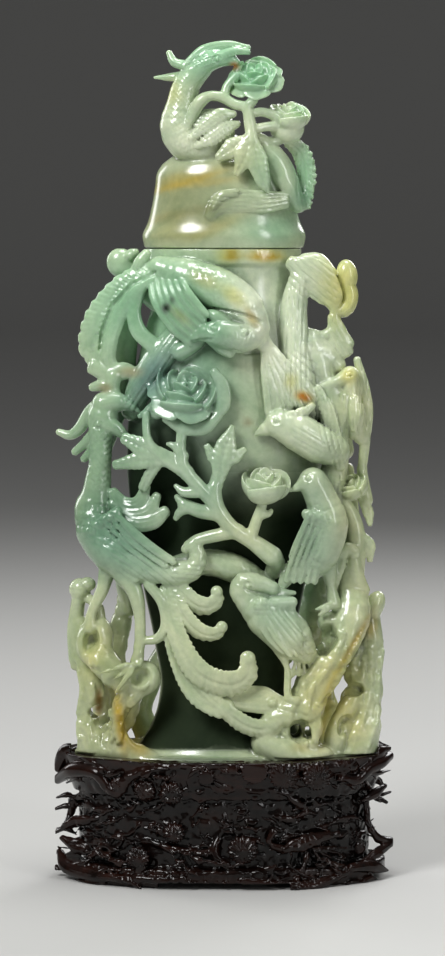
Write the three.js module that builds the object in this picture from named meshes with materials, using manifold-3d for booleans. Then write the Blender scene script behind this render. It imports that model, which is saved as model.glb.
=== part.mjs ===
// Covered vase of carved stone on a wooden stand: vase, cover, stand.
// Millimetres, +Z up, front toward -Y. Reliefs are laid out in drawing units
// (u across, v down, d toward the viewer) of one front elevation.
import * as THREE from 'three';
import { mergeVertices } from 'three/addons/utils/BufferGeometryUtils.js';
import Module from 'manifold-3d';

// ---- driving dimensions ----
const UNIT = 0.4;              // mm per drawing unit
const VIEW_DIST = 1440;        // eye to the middle plane of the vase
const EYE_Z = 271;             // eye height above the floor
const AIM_Z = 160;             // height the elevation is centred on
const CX = 224, CY = 478;      // centre of the elevation, drawing units
const WALL = 5;                // wall of vase and cover
const GAP = 0.3;               // play between two pieces
const SEAT_Z = 46;             // underside of the vase
const SEAM_Z = 252;            // underside of the cover rim
const PLATE = [58.5, 25.6, 4.6];   // base plate of the vase: half width, half depth, thickness
const TONGUE = [25, 14.4, 5, 3];   // locating ring under the cover: half width, half depth, length, wall
const FLOOR_V = 732;           // bottom of the hollow, drawing units
const STAND_TOP = 50.6;        // top of the stand rim
const STAND_HALF = [66.5, 37.5];   // half width and half depth of the stand
const RECESS_HALF = [61.5, 28.6];  // half width and half depth of the seat for the vase

// Outline rows of the two hollow forms: v, half width, half depth.
const VASE_ROWS = [[248.4, 77, 50], [262, 76.5, 49.5], [267, 72, 46], [290, 70, 45], [340, 81, 52], [400, 93.5, 59],
  [460, 97, 55], [520, 92, 47], [580, 82, 42], [640, 70, 37.5], [690, 64, 36], [730, 77, 47.5], [757, 98, 58]];
const COVER_ROWS = [[247.4, 79, 51], [235, 81, 52.5], [223, 76, 49.5], [205, 71.5, 46.5], [187, 68.5, 45], [170, 65, 42.5], [161, 57, 38], [154, 43, 29], [150, 20, 14]];

const PITCH = Math.atan2(EYE_Z - AIM_Z, VIEW_DIST);
const FOCAL = Math.hypot(VIEW_DIST, EYE_Z - AIM_Z) / UNIT;

// Point of the elevation at depth d, in millimetres.
function at(u, v, d) {
  const a = (u - CX) / FOCAL, b = (CY - v) / FOCAL;
  const dy = Math.cos(PITCH) + b * Math.sin(PITCH), dz = -Math.sin(PITCH) + b * Math.cos(PITCH);
  const t = (VIEW_DIST - d * UNIT) / dy;
  return new THREE.Vector3(a * t, -d * UNIT, EYE_Z + dz * t);
}
const heightOf = (v) => at(CX, v, 0).z;

const wasm = await Module();
wasm.setup();
const { Manifold, Mesh } = wasm;


const pieces = {};
let current = null;
function into(name) { current = pieces[name] = pieces[name] || { add: [], cut: [] }; }

// Rings of a cylinder carried along a curve; section(t, x, y) gives the offset.
function sweep(points, sides, rows, frameOf, tipOf) {
  const curve = new THREE.CatmullRomCurve3(points, false, 'catmullrom', 0.5);
  const g = new THREE.CylinderGeometry(1, 1, 1, sides, rows);
  const p = g.attributes.position;
  const frames = [];
  let prev = null;
  for (let i = 0; i <= rows; i++) {
    const t = i / rows, c = curve.getPoint(t), tan = curve.getTangent(t);
    frames.push(frameOf(t, c, tan, prev));
    prev = frames[i];
  }
  for (let i = 0; i < p.count; i++) {
    const row = Math.round((0.5 - p.getY(i)) * rows), f = frames[row];
    const q = f.c.clone().addScaledVector(f.x, p.getX(i) * f.rx).addScaledVector(f.y, p.getZ(i) * f.ry);
    if (Math.hypot(p.getX(i), p.getZ(i)) < 1e-6) q.addScaledVector(f.tan, (row === 0 ? -1 : 1) * tipOf(f));
    p.setXYZ(i, q.x, q.y, q.z);
  }
  return fixed(g);
}
function lerpList(list, t) {
  const x = t * (list.length - 1), i = Math.min(list.length - 2, Math.floor(x));
  return list[i] + (list[i + 1] - list[i]) * (x - i);
}
const span = (pts) => pts.map((q) => at(q[0], q[1], q[2]));

// Round limb through the points with a radius at each.
function limbSolid(pts, radii) {
  const P = span(pts), rMax = Math.max(...radii);
  const sides = rMax < 9 ? 4 : 5;
  const rows = Math.max(1, Math.ceil((P.length - 1) * 0.55));
  return sweep(P, sides, rows, (t, c, tan, prev) => {
    let x;
    if (prev) x = prev.x.clone().addScaledVector(tan, -prev.x.dot(tan)).normalize();
    else {
      x = new THREE.Vector3(0, -1, 0);
      x.addScaledVector(tan, -x.dot(tan));
      if (x.length() < 0.2) { x.set(1, 0, 0); x.addScaledVector(tan, -x.dot(tan)); }
      x.normalize();
    }
    const r = lerpList(radii, t) * UNIT;
    return { c, tan, x, y: x.clone().cross(tan).multiplyScalar(-1).normalize(), rx: r * 1.12, ry: r * 1.12, r };
  }, (f) => f.r * 0.6);
}
function limb(pts, radii) { current.add.push(limbSolid(pts, radii)); }
function cut(pts, radii) { current.cut.push(limbSolid(pts, radii)); }

// Flat strip of lens section: half widths, half thickness, turn about its length.
function blade(pts, widths, thick, tilt) {
  const P = span(pts), face = new THREE.Vector3(0, pts[0][2] < 0 ? 1 : -1, 0);
  current.add.push(sweep(P, 4, Math.max(2, Math.ceil((P.length - 1) * 0.5)), (t, c, tan) => {
    const x = new THREE.Vector3().crossVectors(tan, face).normalize();
    x.applyAxisAngle(tan, tilt * Math.PI / 180);
    return { c, tan, x, y: x.clone().cross(tan).multiplyScalar(-1).normalize(), rx: lerpList(widths, t) * UNIT, ry: thick * UNIT, r: 0 };
  }, () => 0.3));
}
const plume = (pts, widths, tilt) => blade(pts, widths, 4, tilt);

// Plate between two edges, root-wrist and trail-tip, bowed outward.
function wing(root, wrist, trail, tip, n, bow) {
  const [A, B, C, D] = span([root, wrist, trail, tip]);
  const mid0 = A.clone().lerp(B, 0.5), mid1 = C.clone().lerp(D, 0.5), side = root[2] < 0 ? 1 : -1;
  const m = mid0.clone().lerp(mid1, 0.5); m.y += side * 3 * UNIT;
  const w0 = B.clone().sub(A), w1 = D.clone().sub(C);
  current.add.push(sweep([mid0, m, mid1], 4, 2, (t, c, tan) => {
    const w = w0.clone().lerp(w1, t), half = w.length() / 2;
    const x = w.addScaledVector(tan, -w.dot(tan)).normalize();
    if (new THREE.Vector3().crossVectors(x, tan).y * side > 0) x.negate();
    return { c, tan, x, y: x.clone().cross(tan).multiplyScalar(-1).normalize(), rx: half + 2 * UNIT, ry: 4.5 * UNIT, r: 0 };
  }, () => 0.3));
}
// Feathers between two curved edges, as one plate.
function sweepfan(edgeA, edgeB) {
  const n = edgeA.length - 1;
  wing(edgeA[0], edgeB[0], edgeA[n], edgeB[n], 1, 0);
}
function fan(base, endA, endB, n, w) {
  for (let i = 0; i < n; i++) {
    const k = n === 1 ? 0.5 : i / (n - 1), e = [0, 1, 2].map((j) => endA[j] + (endB[j] - endA[j]) * k);
    blade([base, [0, 1, 2].map((j) => (base[j] + e[j]) / 2), e], [w * 0.5, w, w * 0.7], 4, 0);
  }
}
function leaf(base, tip, w) {
  const m = (k, out) => [base[0] + (tip[0] - base[0]) * k, base[1] + (tip[1] - base[1]) * k, base[2] + (tip[2] - base[2]) * k + out];
  const s = base[2] < 0 ? -1 : 1;
  blade([base, m(0.35, 3 * s), m(0.7, 3 * s), tip], [w * 0.4, w, w * 0.9, 2], 4, 0);
}
function claw(a, b) { limb([a, [(a[0] + b[0]) / 2, (a[1] + b[1]) / 2, (a[2] + b[2]) / 2 + 2], b], [5, 4, 3]); }

// Ellipsoid: half sizes across, up and in depth, turned in the elevation.
function ballSolid(u, v, d, ru, rv, rd, turn, detail) {
  const g = new THREE.IcosahedronGeometry(1, detail);
  g.scale(ru * UNIT, rd * UNIT, rv * UNIT);
  g.rotateY(turn * Math.PI / 180);
  const c = at(u, v, d);
  g.translate(c.x, c.y, c.z);
  return fixed(g);
}
function ball(u, v, d, ru, rv, rd, turn) { current.add.push(ballSolid(u, v, d, ru, rv, rd, turn, ru > 16 ? 1 : 0)); }
function pit(u, v, d, ru, rv, rd, turn) { current.cut.push(ballSolid(u, v, d, ru, rv, rd, turn, 0)); }

// Open flower: a cup, with a ring of petals on the large ones.
function peony(u, v, d, r) {
  current.add.push(ballSolid(u, v, d, r * 0.92, r * 0.92, r * 0.42, 20, r > 20 ? 1 : 0));
  const n = r > 34 ? 5 : 0;
  for (let i = 0; i < n; i++) {
    const a = (i + 0.5) / n * 2 * Math.PI;
    current.add.push(ballSolid(u + Math.cos(a) * r * 0.6, v + Math.sin(a) * r * 0.6, d, r * 0.46, r * 0.46, r * 0.34, i * 40, 0));
  }
}
// Closed flower on an axis turned by angle (90 is upright).
function bud(u, v, d, r, angle) {
  current.add.push(ballSolid(u, v, d, r * 0.92, r * 1.02, r * 0.78, 90 - angle, r > 16 ? 1 : 0));
}

// Oval form turned about the upright axis from rows of v, half width, half depth.
function ovalForm(rows, shrink, segs, zTop, zBottom) {
  const pts = rows.map(([v, a]) => [Math.max(0.5, a * UNIT - shrink), heightOf(v)]);
  const ratio = rows.map(([v, a, b]) => Math.max(0.5, b * UNIT - shrink) / Math.max(0.5, a * UNIT - shrink));
  if (zTop !== null) pts[0][1] = zTop;
  if (zBottom !== null) pts[pts.length - 1][1] = zBottom;
  const up = pts.map((q) => new THREE.Vector2(q[0], q[1])), rr = ratio.slice();
  if (up[0].y > up[up.length - 1].y) { up.reverse(); rr.reverse(); }
  const line = [new THREE.Vector2(0, up[0].y), ...up, new THREE.Vector2(0, up[up.length - 1].y)];
  const depth = [rr[0], ...rr, rr[rr.length - 1]];
  const g = new THREE.LatheGeometry(line, segs);
  const p = g.attributes.position, n = line.length;
  for (let i = 0; i < p.count; i++) {
    const k = i % n, x = p.getX(i), y = p.getY(i), z = p.getZ(i);
    p.setXYZ(i, z, -x * depth[k], y);
  }
  return fixed(g);
}
// Closed solid with its faces turned outward.
function fixed(g) {
  g.deleteAttribute('normal'); g.deleteAttribute('uv');
  const m = mergeVertices(g, 1e-4), src = m.index.array, tri = [];
  const q = m.attributes.position;
  let vol = 0;
  for (let i = 0; i < src.length; i += 3) {
    const [a, b, c] = [src[i], src[i + 1], src[i + 2]];
    if (a === b || b === c || a === c) continue;
    tri.push(a, b, c);
    const A = new THREE.Vector3().fromBufferAttribute(q, a), B = new THREE.Vector3().fromBufferAttribute(q, b), C = new THREE.Vector3().fromBufferAttribute(q, c);
    vol += A.dot(B.cross(C));
  }
  if (vol < 0) for (let i = 0; i < tri.length; i += 3) [tri[i + 1], tri[i + 2]] = [tri[i + 2], tri[i + 1]];
  return new Manifold(new Mesh({ numProp: 3, vertProperties: new Float32Array(q.array), triVerts: new Uint32Array(tri) }));
}
// Oval slab between two heights with its own half sizes at each.
function ovalSlab(z0, a0, b0, z1, a1, b1, segs) {
  const g = new THREE.CylinderGeometry(1, 1, 1, segs, 1), p = g.attributes.position;
  for (let i = 0; i < p.count; i++) {
    const t = p.getY(i) + 0.5;
    p.setXYZ(i, p.getX(i) * (a0 + (a1 - a0) * t), p.getZ(i) * (b0 + (b1 - b0) * t), z0 + (z1 - z0) * t);
  }
  return fixed(g);
}
// Depth of an oval of half sizes a, b at width u, with a lift off its face.
function ov(u, a, b, lift) { const k = 1 - ((u - CX) / a) ** 2; return (k > 0.02 ? b * Math.sqrt(k) : b * 0.14) + lift - 5; }
// Round spray of needles and a rolled scroll, as flat bosses.
function pine(u, v, d, r) { current.add.push(ballSolid(u, v, d * 0.985, r, r * 0.95, 5, u * 7, 0)); }
function scroll(u, v, d, r) { current.add.push(ballSolid(u, v, d * 0.98, r, r, 6, 15, 0)); }

// ---- vase ----
into('vase');
// Rock at the left foot, worn through in hollows.
limb([[84,758,20],[104,750,28],[128,752,38],[152,760,42]],[13,14,13,9],3);
limb([[92,748,24],[88,716,22],[92,690,24],[86,656,20],[80,624,16]],[15,12,13,12,9],3);
limb([[146,758,42],[124,742,42],[117,722,42],[124,702,44],[142,682,50]],[7,9,9,11,13],2.5);
limb([[108,742,26],[126,712,26],[132,690,34]],[13,13,13],3);
ball(95,641,34,19,25,17,12,3);
limb([[98,654,38],[112,672,44],[124,682,48]],[16,15,13],3);
ball(142,678,50,19,18,15,-12,2.5);
pit(146,676,68,11,9,8,-20);
// Bud on its stem beside the rock.
bud(81,590,18,12.5,110);
limb([[81,590,18],[78,604,17],[75,632,14],[78,664,16]],[8,7,8,9],2);
// Rock at the right foot: trunk with hollows and a perforated front.
limb([[296,760,42],[300,724,46],[312,690,48],[332,656,46],[350,620,38],[352,600,32]],[24,21,19,20,20,17],3);
limb([[266,742,50],[284,752,56],[306,758,56],[322,756,48]],[15,15,14,13],3);
limb([[288,712,56],[274,722,54],[266,738,50]],[14,14,12],3);
limb([[352,756,22],[362,724,22],[366,690,20],[370,650,16],[368,616,14]],[25,20,16,14,12],3);
limb([[334,758,36],[338,726,38],[352,700,34],[362,676,26]],[14,11,11,11],3);
ball(330,622,40,13,11,14,0,3);
pit(300,732,68,12,11,14,-15);
pit(326,640,58,10,16,20,20);
ball(374,606,16,10,16,12,25,2);
// Ground between the rocks.
// Great phoenix, walking to the right along the left side of the vase.
limb([[103,416,36],[101,440,36],[100,465,36],[97,490,34],[94,512,32]],[15,12,11.5,14,19],2.5);
limb([[92,508,32],[100,530,36],[116,550,42],[140,564,50],[168,572,58]],[17,24,25,20,11],3);
wing([117,512,60],[88,532,52],[177,560,70],[132,581,62],6,3);
limb([[156,570,58],[178,573,62],[194,568,64],[198,555,64],[192,546,63],[186,549,62]],[13,13,11,9,7,5],2);
// Tail plumes with rolled ends.
plume([[172,576,60],[186,596,66],[202,606,68],[215,602,68],[217,590,67]],[6,8,8,6,4],-25);
plume([[170,584,60],[182,612,68],[198,630,70],[214,634,70],[223,626,69]],[6,7.5,8,6,4],-25);
plume([[166,586,60],[176,632,70],[196,670,74],[226,684,74],[246,676,72],[248,656,71]],[7,9,12,13,10,6],-20);
plume([[164,596,56],[172,650,62],[190,692,64],[214,708,64],[227,708,64]],[4,4.5,5,7,7],10);
plume([[190,676,66],[214,700,66],[244,724,64],[268,728,62],[279,714,62],[272,701,62]],[5,8,10,10,8,5],-10);
blade([[214,694,56],[238,698,58],[262,700,58],[282,704,58]],[8,13,14,10],5,10,2,2);
// Swell of the ground under the branch.
limb([[172,568,42],[204,562,44],[234,568,45],[264,586,44]],[11,14,15,12],4); 
// Peony branch across the front.
limb([[272,556,62],[252,541,64],[232,528,68],[217,508,70],[214,488,70]],[10,8,7.5,8,7],2.5);
limb([[216,505,70],[200,488,72],[184,468,72],[181,448,70],[182,426,66]],[7,7,6.5,5,5.5],2);
bud(265,484,66,26,90);
peony(186,388,60,40,4,6);
// Bird at the upper left: body, turned head, near wing, spread far wing and tail.
limb([[160,268,42],[190,278,50],[220,290,56],[244,308,58],[254,328,58]],[12,19,21,20,16],3);
limb([[252,334,60],[240,337,66],[222,334,69],[207,332,67]],[15,16,15,10],2);
sweepfan([[145,266,50],[151,300,54],[168,328,58],[188,347,60]],[[177,263,58],[187,284,66],[198,300,70],[209,312,70]],6,1);
blade([[156,270,44],[124,286,40],[100,316,32],[92,344,28],[97,364,28]],[10,13,15,15,9],5,-14,4,1.5);
limb([[186,330,38],[164,354,38],[142,386,34],[132,410,26]],[15,16,14,11],3);
// Bud and curl behind the bird.
bud(122,261,18,15,130);
limb([[124,264,19],[140,286,24],[158,300,26]],[9,10,12],3);
// Tree on the right shoulder with a draped leaf, a bud and a hanging leaf.
limb([[304,412,36],[300,380,38],[297,340,36],[297,306,34],[303,278,34]],[20,20,18,16,13],3);
limb([[322,392,30],[320,366,30],[319,346,30],[326,334,30],[338,330,30]],[15,13,10,8,6],2.5);
blade([[290,262,38],[304,270,41],[318,281,40],[330,296,36],[335,306,32]],[7,17,20,14,7],4.5,-10,2,1.5);
ball(347,275,26,10.5,15.5,10,-8,1.5);
limb([[346,280,26],[353,298,26],[352,310,27],[342,313,28],[328,302,32]],[7,5.5,5.5,6.5,6.5],2);
// Long-billed bird on the right edge.
limb([[350,377,38],[350,396,36],[352,414,36],[352,432,32]],[9,11,13,7],2);
// Trunk behind the small birds.
limb([[328,388,38],[334,420,40],[337,450,38],[332,480,36],[328,500,36]],[12,12,12,14,14],3);
// Small bird above, facing left.
limb([[280,424,60],[298,432,58],[318,444,54],[334,450,46]],[15,19,19,16],2.5);
// Small bird perched below it, facing left.
limb([[313,482,64],[322,500,60],[327,524,58],[321,550,56],[310,572,54]],[14.5,16,21,20,11],2.5);
wing([307,514,74],[333,522,72],[283,580,62],[318,582,64],5,2);
// Duck-like bird below, head turned back.
limb([[250,602,64],[241,591,66],[243,582,68],[256,582,70],[272,588,70]],[13,11.5,10,9,7],2);
limb([[252,602,62],[268,616,64],[290,636,62],[306,654,58]],[15,22,22,12],3);
wing([259,606,80],[292,602,72],[288,656,78],[316,652,66],5,3);
wing([252,612,76],[262,602,80],[280,652,76],[290,656,78],2,2);
// Flowering branch down the right edge.
limb([[344,502,36],[352,516,32],[356,540,30],[352,566,30],[350,590,30],[356,610,26]],[6,8,10,13,14,13],2.5);
bud(352,486,34,18,120);
bud(338,478,42,9,160);
// Plain back: a branch with two peonies and leaves, plumes and low rockwork.
limb([[150,676,-44],[176,636,-52],[196,590,-60],[214,530,-66],[240,470,-68],[250,410,-64],[240,350,-56]],[13,10,9,8,7.5,7,6],2.5);
peony(228,330,-52,30,0,0);
peony(160,430,-48,27,0,0);
peony(288,410,-48,24,0,0);
limb([[326,500,-30],[322,560,-34],[312,620,-40],[316,684,-42],[330,740,-34]],[12,13,15,18,20],3);
limb([[300,742,-44],[270,716,-46],[262,684,-44],[288,650,-42]],[15,13,11,11],3);
limb([[110,744,-24],[104,698,-26],[116,650,-26],[126,600,-24]],[17,15,13,10],3);
limb([[150,740,-44],[140,710,-44],[150,680,-44]],[14,13,12],3);
pit(290,700,-62,13,20,14,0);

// ---- cover ----
into('cover');
// Phoenix of the finial: tail end, breast, neck, head, crest.
limb([[226,150,16],[204,144,22],[186,140,22],[179,126,22],[182,104,22],[187,84,22],[200,68,24]],[18,19,19,18,12.5,11.5,11],2.5);
limb([[196,70,24],[210,60,28],[226,58,30],[236,62,32]],[11,11,8,4],2);
blade([[184,66,28],[204,52,30],[226,46,30],[247,48,30]],[4,7.5,6,4],4,0,2,1);
limb([[184,132,36],[193,114,36],[200,102,37],[210,96,38],[224,97,38]],[5,6,6.5,5,5],1.5);
wing([190,130,40],[202,112,40],[226,144,40],[236,120,34],4,4);
// Branch that carries the finial's flowers.
limb([[222,97,38],[234,104,40],[246,108,42],[250,124,44],[252,142,48]],[5,5,5,6,6],2);
limb([[224,98,38],[227,86,36],[236,76,34]],[4.5,4.2,4.5],1.5);
limb([[246,108,42],[254,98,40],[256,84,34]],[5,5,5],1.5);
peony(254,76,30,25,-10,15);
bud(289,122,26,22,75);
// Leaf hanging from the branch over the dome.
blade([[250,136,48],[246,152,50],[238,166,51]],[4,12,3],3.5,0,3,1);
blade([[246,140,47],[232,152,48],[220,170,48]],[4,10,3],3.5,0,3,1);
blade([[252,138,49],[256,160,52],[262,182,50],[267,194,46]],[4,10,8,2],3.5,0,3,1);
// Tail: one plume stands clear at the right, one lies across the dome.
blade([[288,140,22],[303,156,16],[308,178,14],[302,206,18]],[6,8,8.5,9],4.5,-25,1,1);
limb([[282,178,30],[292,192,26],[298,204,20]],[9,9,9],2);
blade([[286,200,33],[262,202,42],[238,201,46],[220,204,47],[210,217,47]],[8,9,9,8,4],3.5,0,2,1);
limb([[262,150,26],[276,164,26],[286,182,24],[290,198,20]],[14,14,13,10],3);
// Plain spray of leaves on the back of the dome.
blade([[226,170,-40],[206,180,-44],[190,196,-42]],[3,9,3],3.5,0,3,1);
blade([[232,178,-43],[252,184,-44],[270,200,-38]],[3,9,3],3.5,0,3,1);
peony(236,196,-43,14,0,0);

// ---- stand ----
into('stand');
// Rim of the stand: scrolling cloud, leaf ends and pine sprays.
limb([[58,779,ov(58,168,96,0)],[74,770,ov(74,168,96,0)],[96,773,ov(96,168,96,0)],[108,788,ov(108,166,94,0)],[120,793,ov(120,164,92,0)],[128,778,ov(128,166,94,0)],[150,769,ov(150,166,94,0)]],[5,8,7,6,5,6,5],2);
blade([[82,746,ov(82,160,90,-4)],[66,752,ov(66,164,94,0)],[58,768,ov(58,168,96,0)]],[3,8,6],5,-20,2,1);
blade([[112,770,ov(112,160,90,2)],[94,760,ov(94,164,94,2)],[76,752,ov(76,168,96,2)]],[8,7,3],4,-20,2,1);
pine(254,771,ov(254,166,94,4),14);
pine(284,775,ov(284,166,94,4),15);
pine(317,776,ov(317,166,94,4),15);
scroll(343,765,ov(343,168,96,3),9,1);
limb([[340,776,ov(340,166,94,0)],[356,780,ov(356,166,94,0)],[368,768,ov(368,166,94,0)],[380,762,ov(380,168,96,0)],[389,756,ov(389,168,96,0)]],[5,6,7,7,5],2);
pine(145,790,ov(145,156,88,6),12);
pine(171,793,ov(171,156,88,6),13);
// Waist: pine trunk and branches, two cranes, scrolls and leaves.
pine(174,833,ov(174,146,80,4),11);
pine(138,858,ov(138,154,88,4),12);
pine(243,850,ov(243,150,84,5),15);
limb([[274,832,ov(274,150,84,6)],[269,842,ov(269,150,84,6)],[282,849,ov(282,150,84,6)],[300,846,ov(300,150,84,6)]],[4.5,3.5,5,7],1.5);
blade([[284,850,ov(284,152,86,8)],[306,842,ov(306,152,86,8)],[338,834,ov(338,152,86,6)]],[5,9,4],4,0,2,1);
scroll(358,848,ov(358,150,84,3),10,-1);
blade([[57,831,ov(57,168,96,0)],[76,822,ov(76,156,88,2)],[100,818,ov(100,146,80,1)]],[2,8,4],4.5,-15,2,1);
blade([[63,838,ov(63,168,96,0)],[78,846,ov(78,158,88,2)],[94,852,ov(94,148,82,0)]],[4,9,5],4.5,10,2,1);
// Foot of the stand: waves and shelves of rock.
blade([[60,852,ov(60,168,96,0)],[68,866,ov(68,168,96,2)],[92,874,ov(92,166,96,3)],[118,878,ov(118,166,96,3)]],[4,8,7,4],5,10,2,1);
blade([[56,868,ov(58,169,97,0)],[68,878,ov(68,164,92,0)],[94,884,ov(94,163,91,2)]],[4,8,4],5,10,2,1);
// Back of the stand, plainer.
limb([[70,752,-ov(70,166,94,0)],[120,744,-ov(120,166,94,0)],[180,744,-ov(180,166,94,0)],[240,738,-ov(240,166,94,0)],[300,744,-ov(300,166,94,0)],[370,750,-ov(370,166,94,0)]],[6,6.4,6,6,6,6],2);
pine(140,794,-ov(140,146,80,4),13);
pine(206,792,-ov(206,146,80,4),13);
pine(266,790,-ov(266,146,80,4),13);
pine(320,798,-ov(320,146,80,4),12);
pine(120,754,-ov(120,166,94,4),13);
pine(224,752,-ov(224,166,94,4),14);
pine(328,754,-ov(328,166,94,4),13);
limb([[90,862,-ov(90,166,96,2)],[150,858,-ov(150,166,96,2)],[224,850,-ov(224,166,96,2)],[300,856,-ov(300,166,96,2)],[356,862,-ov(356,166,96,2)]],[6,6.4,6,6,6],2);

// ---- bodies of the pieces ----
const vase = pieces.vase, cover = pieces.cover, stand = pieces.stand;
const SEGS = 16;
vase.core = ovalForm(VASE_ROWS, 0, SEGS, SEAM_Z - GAP, SEAT_Z + 1);
vase.plate = ovalSlab(SEAT_Z, PLATE[0] - 1, PLATE[1] - 1, SEAT_Z + PLATE[2], PLATE[0], PLATE[1], SEGS);
const inner = VASE_ROWS.filter((q) => q[0] < FLOOR_V - 8).concat([[FLOOR_V, 56, 32]]);
vase.hollow = ovalForm(inner, WALL, SEGS, SEAM_Z + 20, null);
cover.core = ovalForm(COVER_ROWS, 0, SEGS, null, SEAM_Z);
const throat = [(TONGUE[0] - TONGUE[3] + WALL) / UNIT, (TONGUE[1] - TONGUE[3] + WALL) / UNIT];
const dome = [[247.4, ...throat], [236, ...throat], ...COVER_ROWS.filter((q) => q[0] > 163 && q[0] < 220), [163, 50, 32]];
cover.hollow = ovalForm(dome, WALL, SEGS, SEAM_Z - 20, null);
const ringOuter = ovalSlab(SEAM_Z - TONGUE[2], TONGUE[0] - 0.6, TONGUE[1] - 0.6, SEAM_Z + 4, TONGUE[0], TONGUE[1], SEGS);
const ringInner = ovalSlab(SEAM_Z - TONGUE[2] - 1, TONGUE[0] - TONGUE[3], TONGUE[1] - TONGUE[3], SEAM_Z + 4, TONGUE[0] - TONGUE[3], TONGUE[1] - TONGUE[3], SEGS);
cover.ring = ringOuter.subtract(ringInner);

const box = (x0, x1, y0, y1, z0, z1) => {
  const g = new THREE.BoxGeometry(x1 - x0, y1 - y0, z1 - z0);
  g.translate((x0 + x1) / 2, (y0 + y1) / 2, (z0 + z1) / 2);
  return fixed(g);
};

// Vase: carving joined to the core, nothing past its seams, hollow cut last.
const all = (list) => Manifold.union(list);
let vaseBody = all([vase.core, vase.plate, ...vase.add]);
vaseBody = vaseBody.subtract(all(vase.cut));
vaseBody = vaseBody.intersect(box(-90, 90, -60, 60, SEAT_Z, SEAM_Z - GAP));
vaseBody = vaseBody.subtract(vase.hollow);
const seatRing = box(-90, 90, -60, 60, SEAT_Z - 5, STAND_TOP + 0.5)
  .subtract(ovalSlab(SEAT_Z - 9, RECESS_HALF[0] - 0.5, RECESS_HALF[1] - 0.5, 80, RECESS_HALF[0] - 0.5, RECESS_HALF[1] - 0.5, SEGS));
vaseBody = vaseBody.subtract(seatRing);

// Cover: dome, ring and finial, hollow from below.
let coverBody = all([cover.core, ...cover.add]).intersect(box(-90, 90, -60, 60, SEAM_Z, 400));
coverBody = coverBody.subtract(cover.hollow).add(cover.ring);

// Stand: foot, waist and rim with the seat for the vase.
const [SA, SB] = STAND_HALF;
let standBody = all([
  ovalSlab(0, SA - 2, SB - 1, 8, SA - 1.5, SB - 0.8, SEGS),
  ovalSlab(6, SA - 8, SB - 5.5, 37, SA - 8, SB - 5.5, SEGS),
  ovalSlab(35, SA - 6, SB - 4, STAND_TOP, SA - 0.5, SB - 0.2, SEGS), ...stand.add]);
standBody = standBody.intersect(box(-68, 68, -37.7, 37.7, 0, STAND_TOP + 6)).subtract(box(-61, 61, -60, 60, STAND_TOP, 90));
standBody = standBody.subtract(ovalSlab(SEAT_Z - GAP, RECESS_HALF[0], RECESS_HALF[1], 70, RECESS_HALF[0], RECESS_HALF[1], SEGS));
standBody = standBody.subtract(box(-26, 26, -60, 60, -5, 2.6)).subtract(box(-90, 90, -14, 14, -5, 2.6));

const looks = {
  vase: [0xb9c9a6, 0.25], cover: [0xb4c8a4, 0.25], stand: [0x2a1710, 0.35],
};
const group = new THREE.Group();
for (const [name, body] of [['vase', vaseBody], ['cover', coverBody], ['stand', standBody]]) {
  const m = body.getMesh();
  const g = new THREE.BufferGeometry();
  g.setAttribute('position', new THREE.BufferAttribute(new Float32Array(m.vertProperties), 3));
  g.setIndex(new THREE.BufferAttribute(new Uint32Array(m.triVerts), 1));
  g.computeVertexNormals();
  const mesh = new THREE.Mesh(g, new THREE.MeshStandardMaterial({ color: looks[name][0], roughness: looks[name][1], metalness: 0 }));
  mesh.name = name;
  group.add(mesh);
}
export default group;
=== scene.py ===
# Covered vase of carved stone on a wooden stand: sculpted surfaces, finish, light and view.
# The relief is laid out in drawing units (u across, v down, d toward the viewer)
# of one front elevation and built as distance fields that are blended and meshed.
import math
import bpy
import numpy as np
import openvdb
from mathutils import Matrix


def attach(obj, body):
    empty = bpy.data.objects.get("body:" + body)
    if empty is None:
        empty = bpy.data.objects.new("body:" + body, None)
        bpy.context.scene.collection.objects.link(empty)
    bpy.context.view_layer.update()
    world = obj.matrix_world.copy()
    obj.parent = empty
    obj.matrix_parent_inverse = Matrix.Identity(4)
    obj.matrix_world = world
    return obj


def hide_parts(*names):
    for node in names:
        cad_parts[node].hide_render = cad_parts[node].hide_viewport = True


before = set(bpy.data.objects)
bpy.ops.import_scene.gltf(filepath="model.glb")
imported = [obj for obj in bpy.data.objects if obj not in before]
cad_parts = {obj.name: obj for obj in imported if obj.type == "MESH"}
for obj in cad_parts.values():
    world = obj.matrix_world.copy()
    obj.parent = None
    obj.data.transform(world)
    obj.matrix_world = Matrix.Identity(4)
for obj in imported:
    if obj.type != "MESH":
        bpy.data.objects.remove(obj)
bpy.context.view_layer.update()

# ---- sizes ----
UNIT = 0.4                     # mm per drawing unit
VIEW_DIST = 1440.0             # eye to the middle plane of the vase
EYE_Z = 271.0                  # eye height above the floor
AIM_Z = 160.0                  # height the elevation is centred on
CX, CY = 224.0, 478.0          # centre of the elevation, drawing units
WALL = 5.0
GAP = 0.3
SEAT_Z = 46.0
SEAM_Z = 252.0
PLATE = [58.5, 25.6, 4.6]
TONGUE = [25.0, 14.4, 5.0, 3.0]
FLOOR_V = 732
STAND_TOP = 50.6
STAND_HALF = [66.5, 37.5]
RECESS_HALF = [61.5, 28.6]
VASE_ROWS = [[248.4, 77, 50], [262, 76.5, 49.5], [267, 72, 46], [290, 70, 45], [340, 81, 52], [400, 93.5, 59],
             [460, 97, 55], [520, 92, 47], [580, 82, 42], [640, 70, 37.5], [690, 64, 36], [730, 77, 47.5], [757, 98, 58]]
COVER_ROWS = [[247.4, 79, 51], [235, 81, 52.5], [223, 76, 49.5], [205, 71.5, 46.5], [187, 68.5, 45], [170, 65, 42.5], [161, 57, 38], [154, 43, 29], [150, 20, 14]]
FINE = 0.5   # voxel of the vase, mm
TRIS = 192000

PITCH = math.atan2(EYE_Z - AIM_Z, VIEW_DIST)
FOCAL = math.hypot(VIEW_DIST, EYE_Z - AIM_Z) / UNIT
F32 = np.float32
FAR = 4.0


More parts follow.
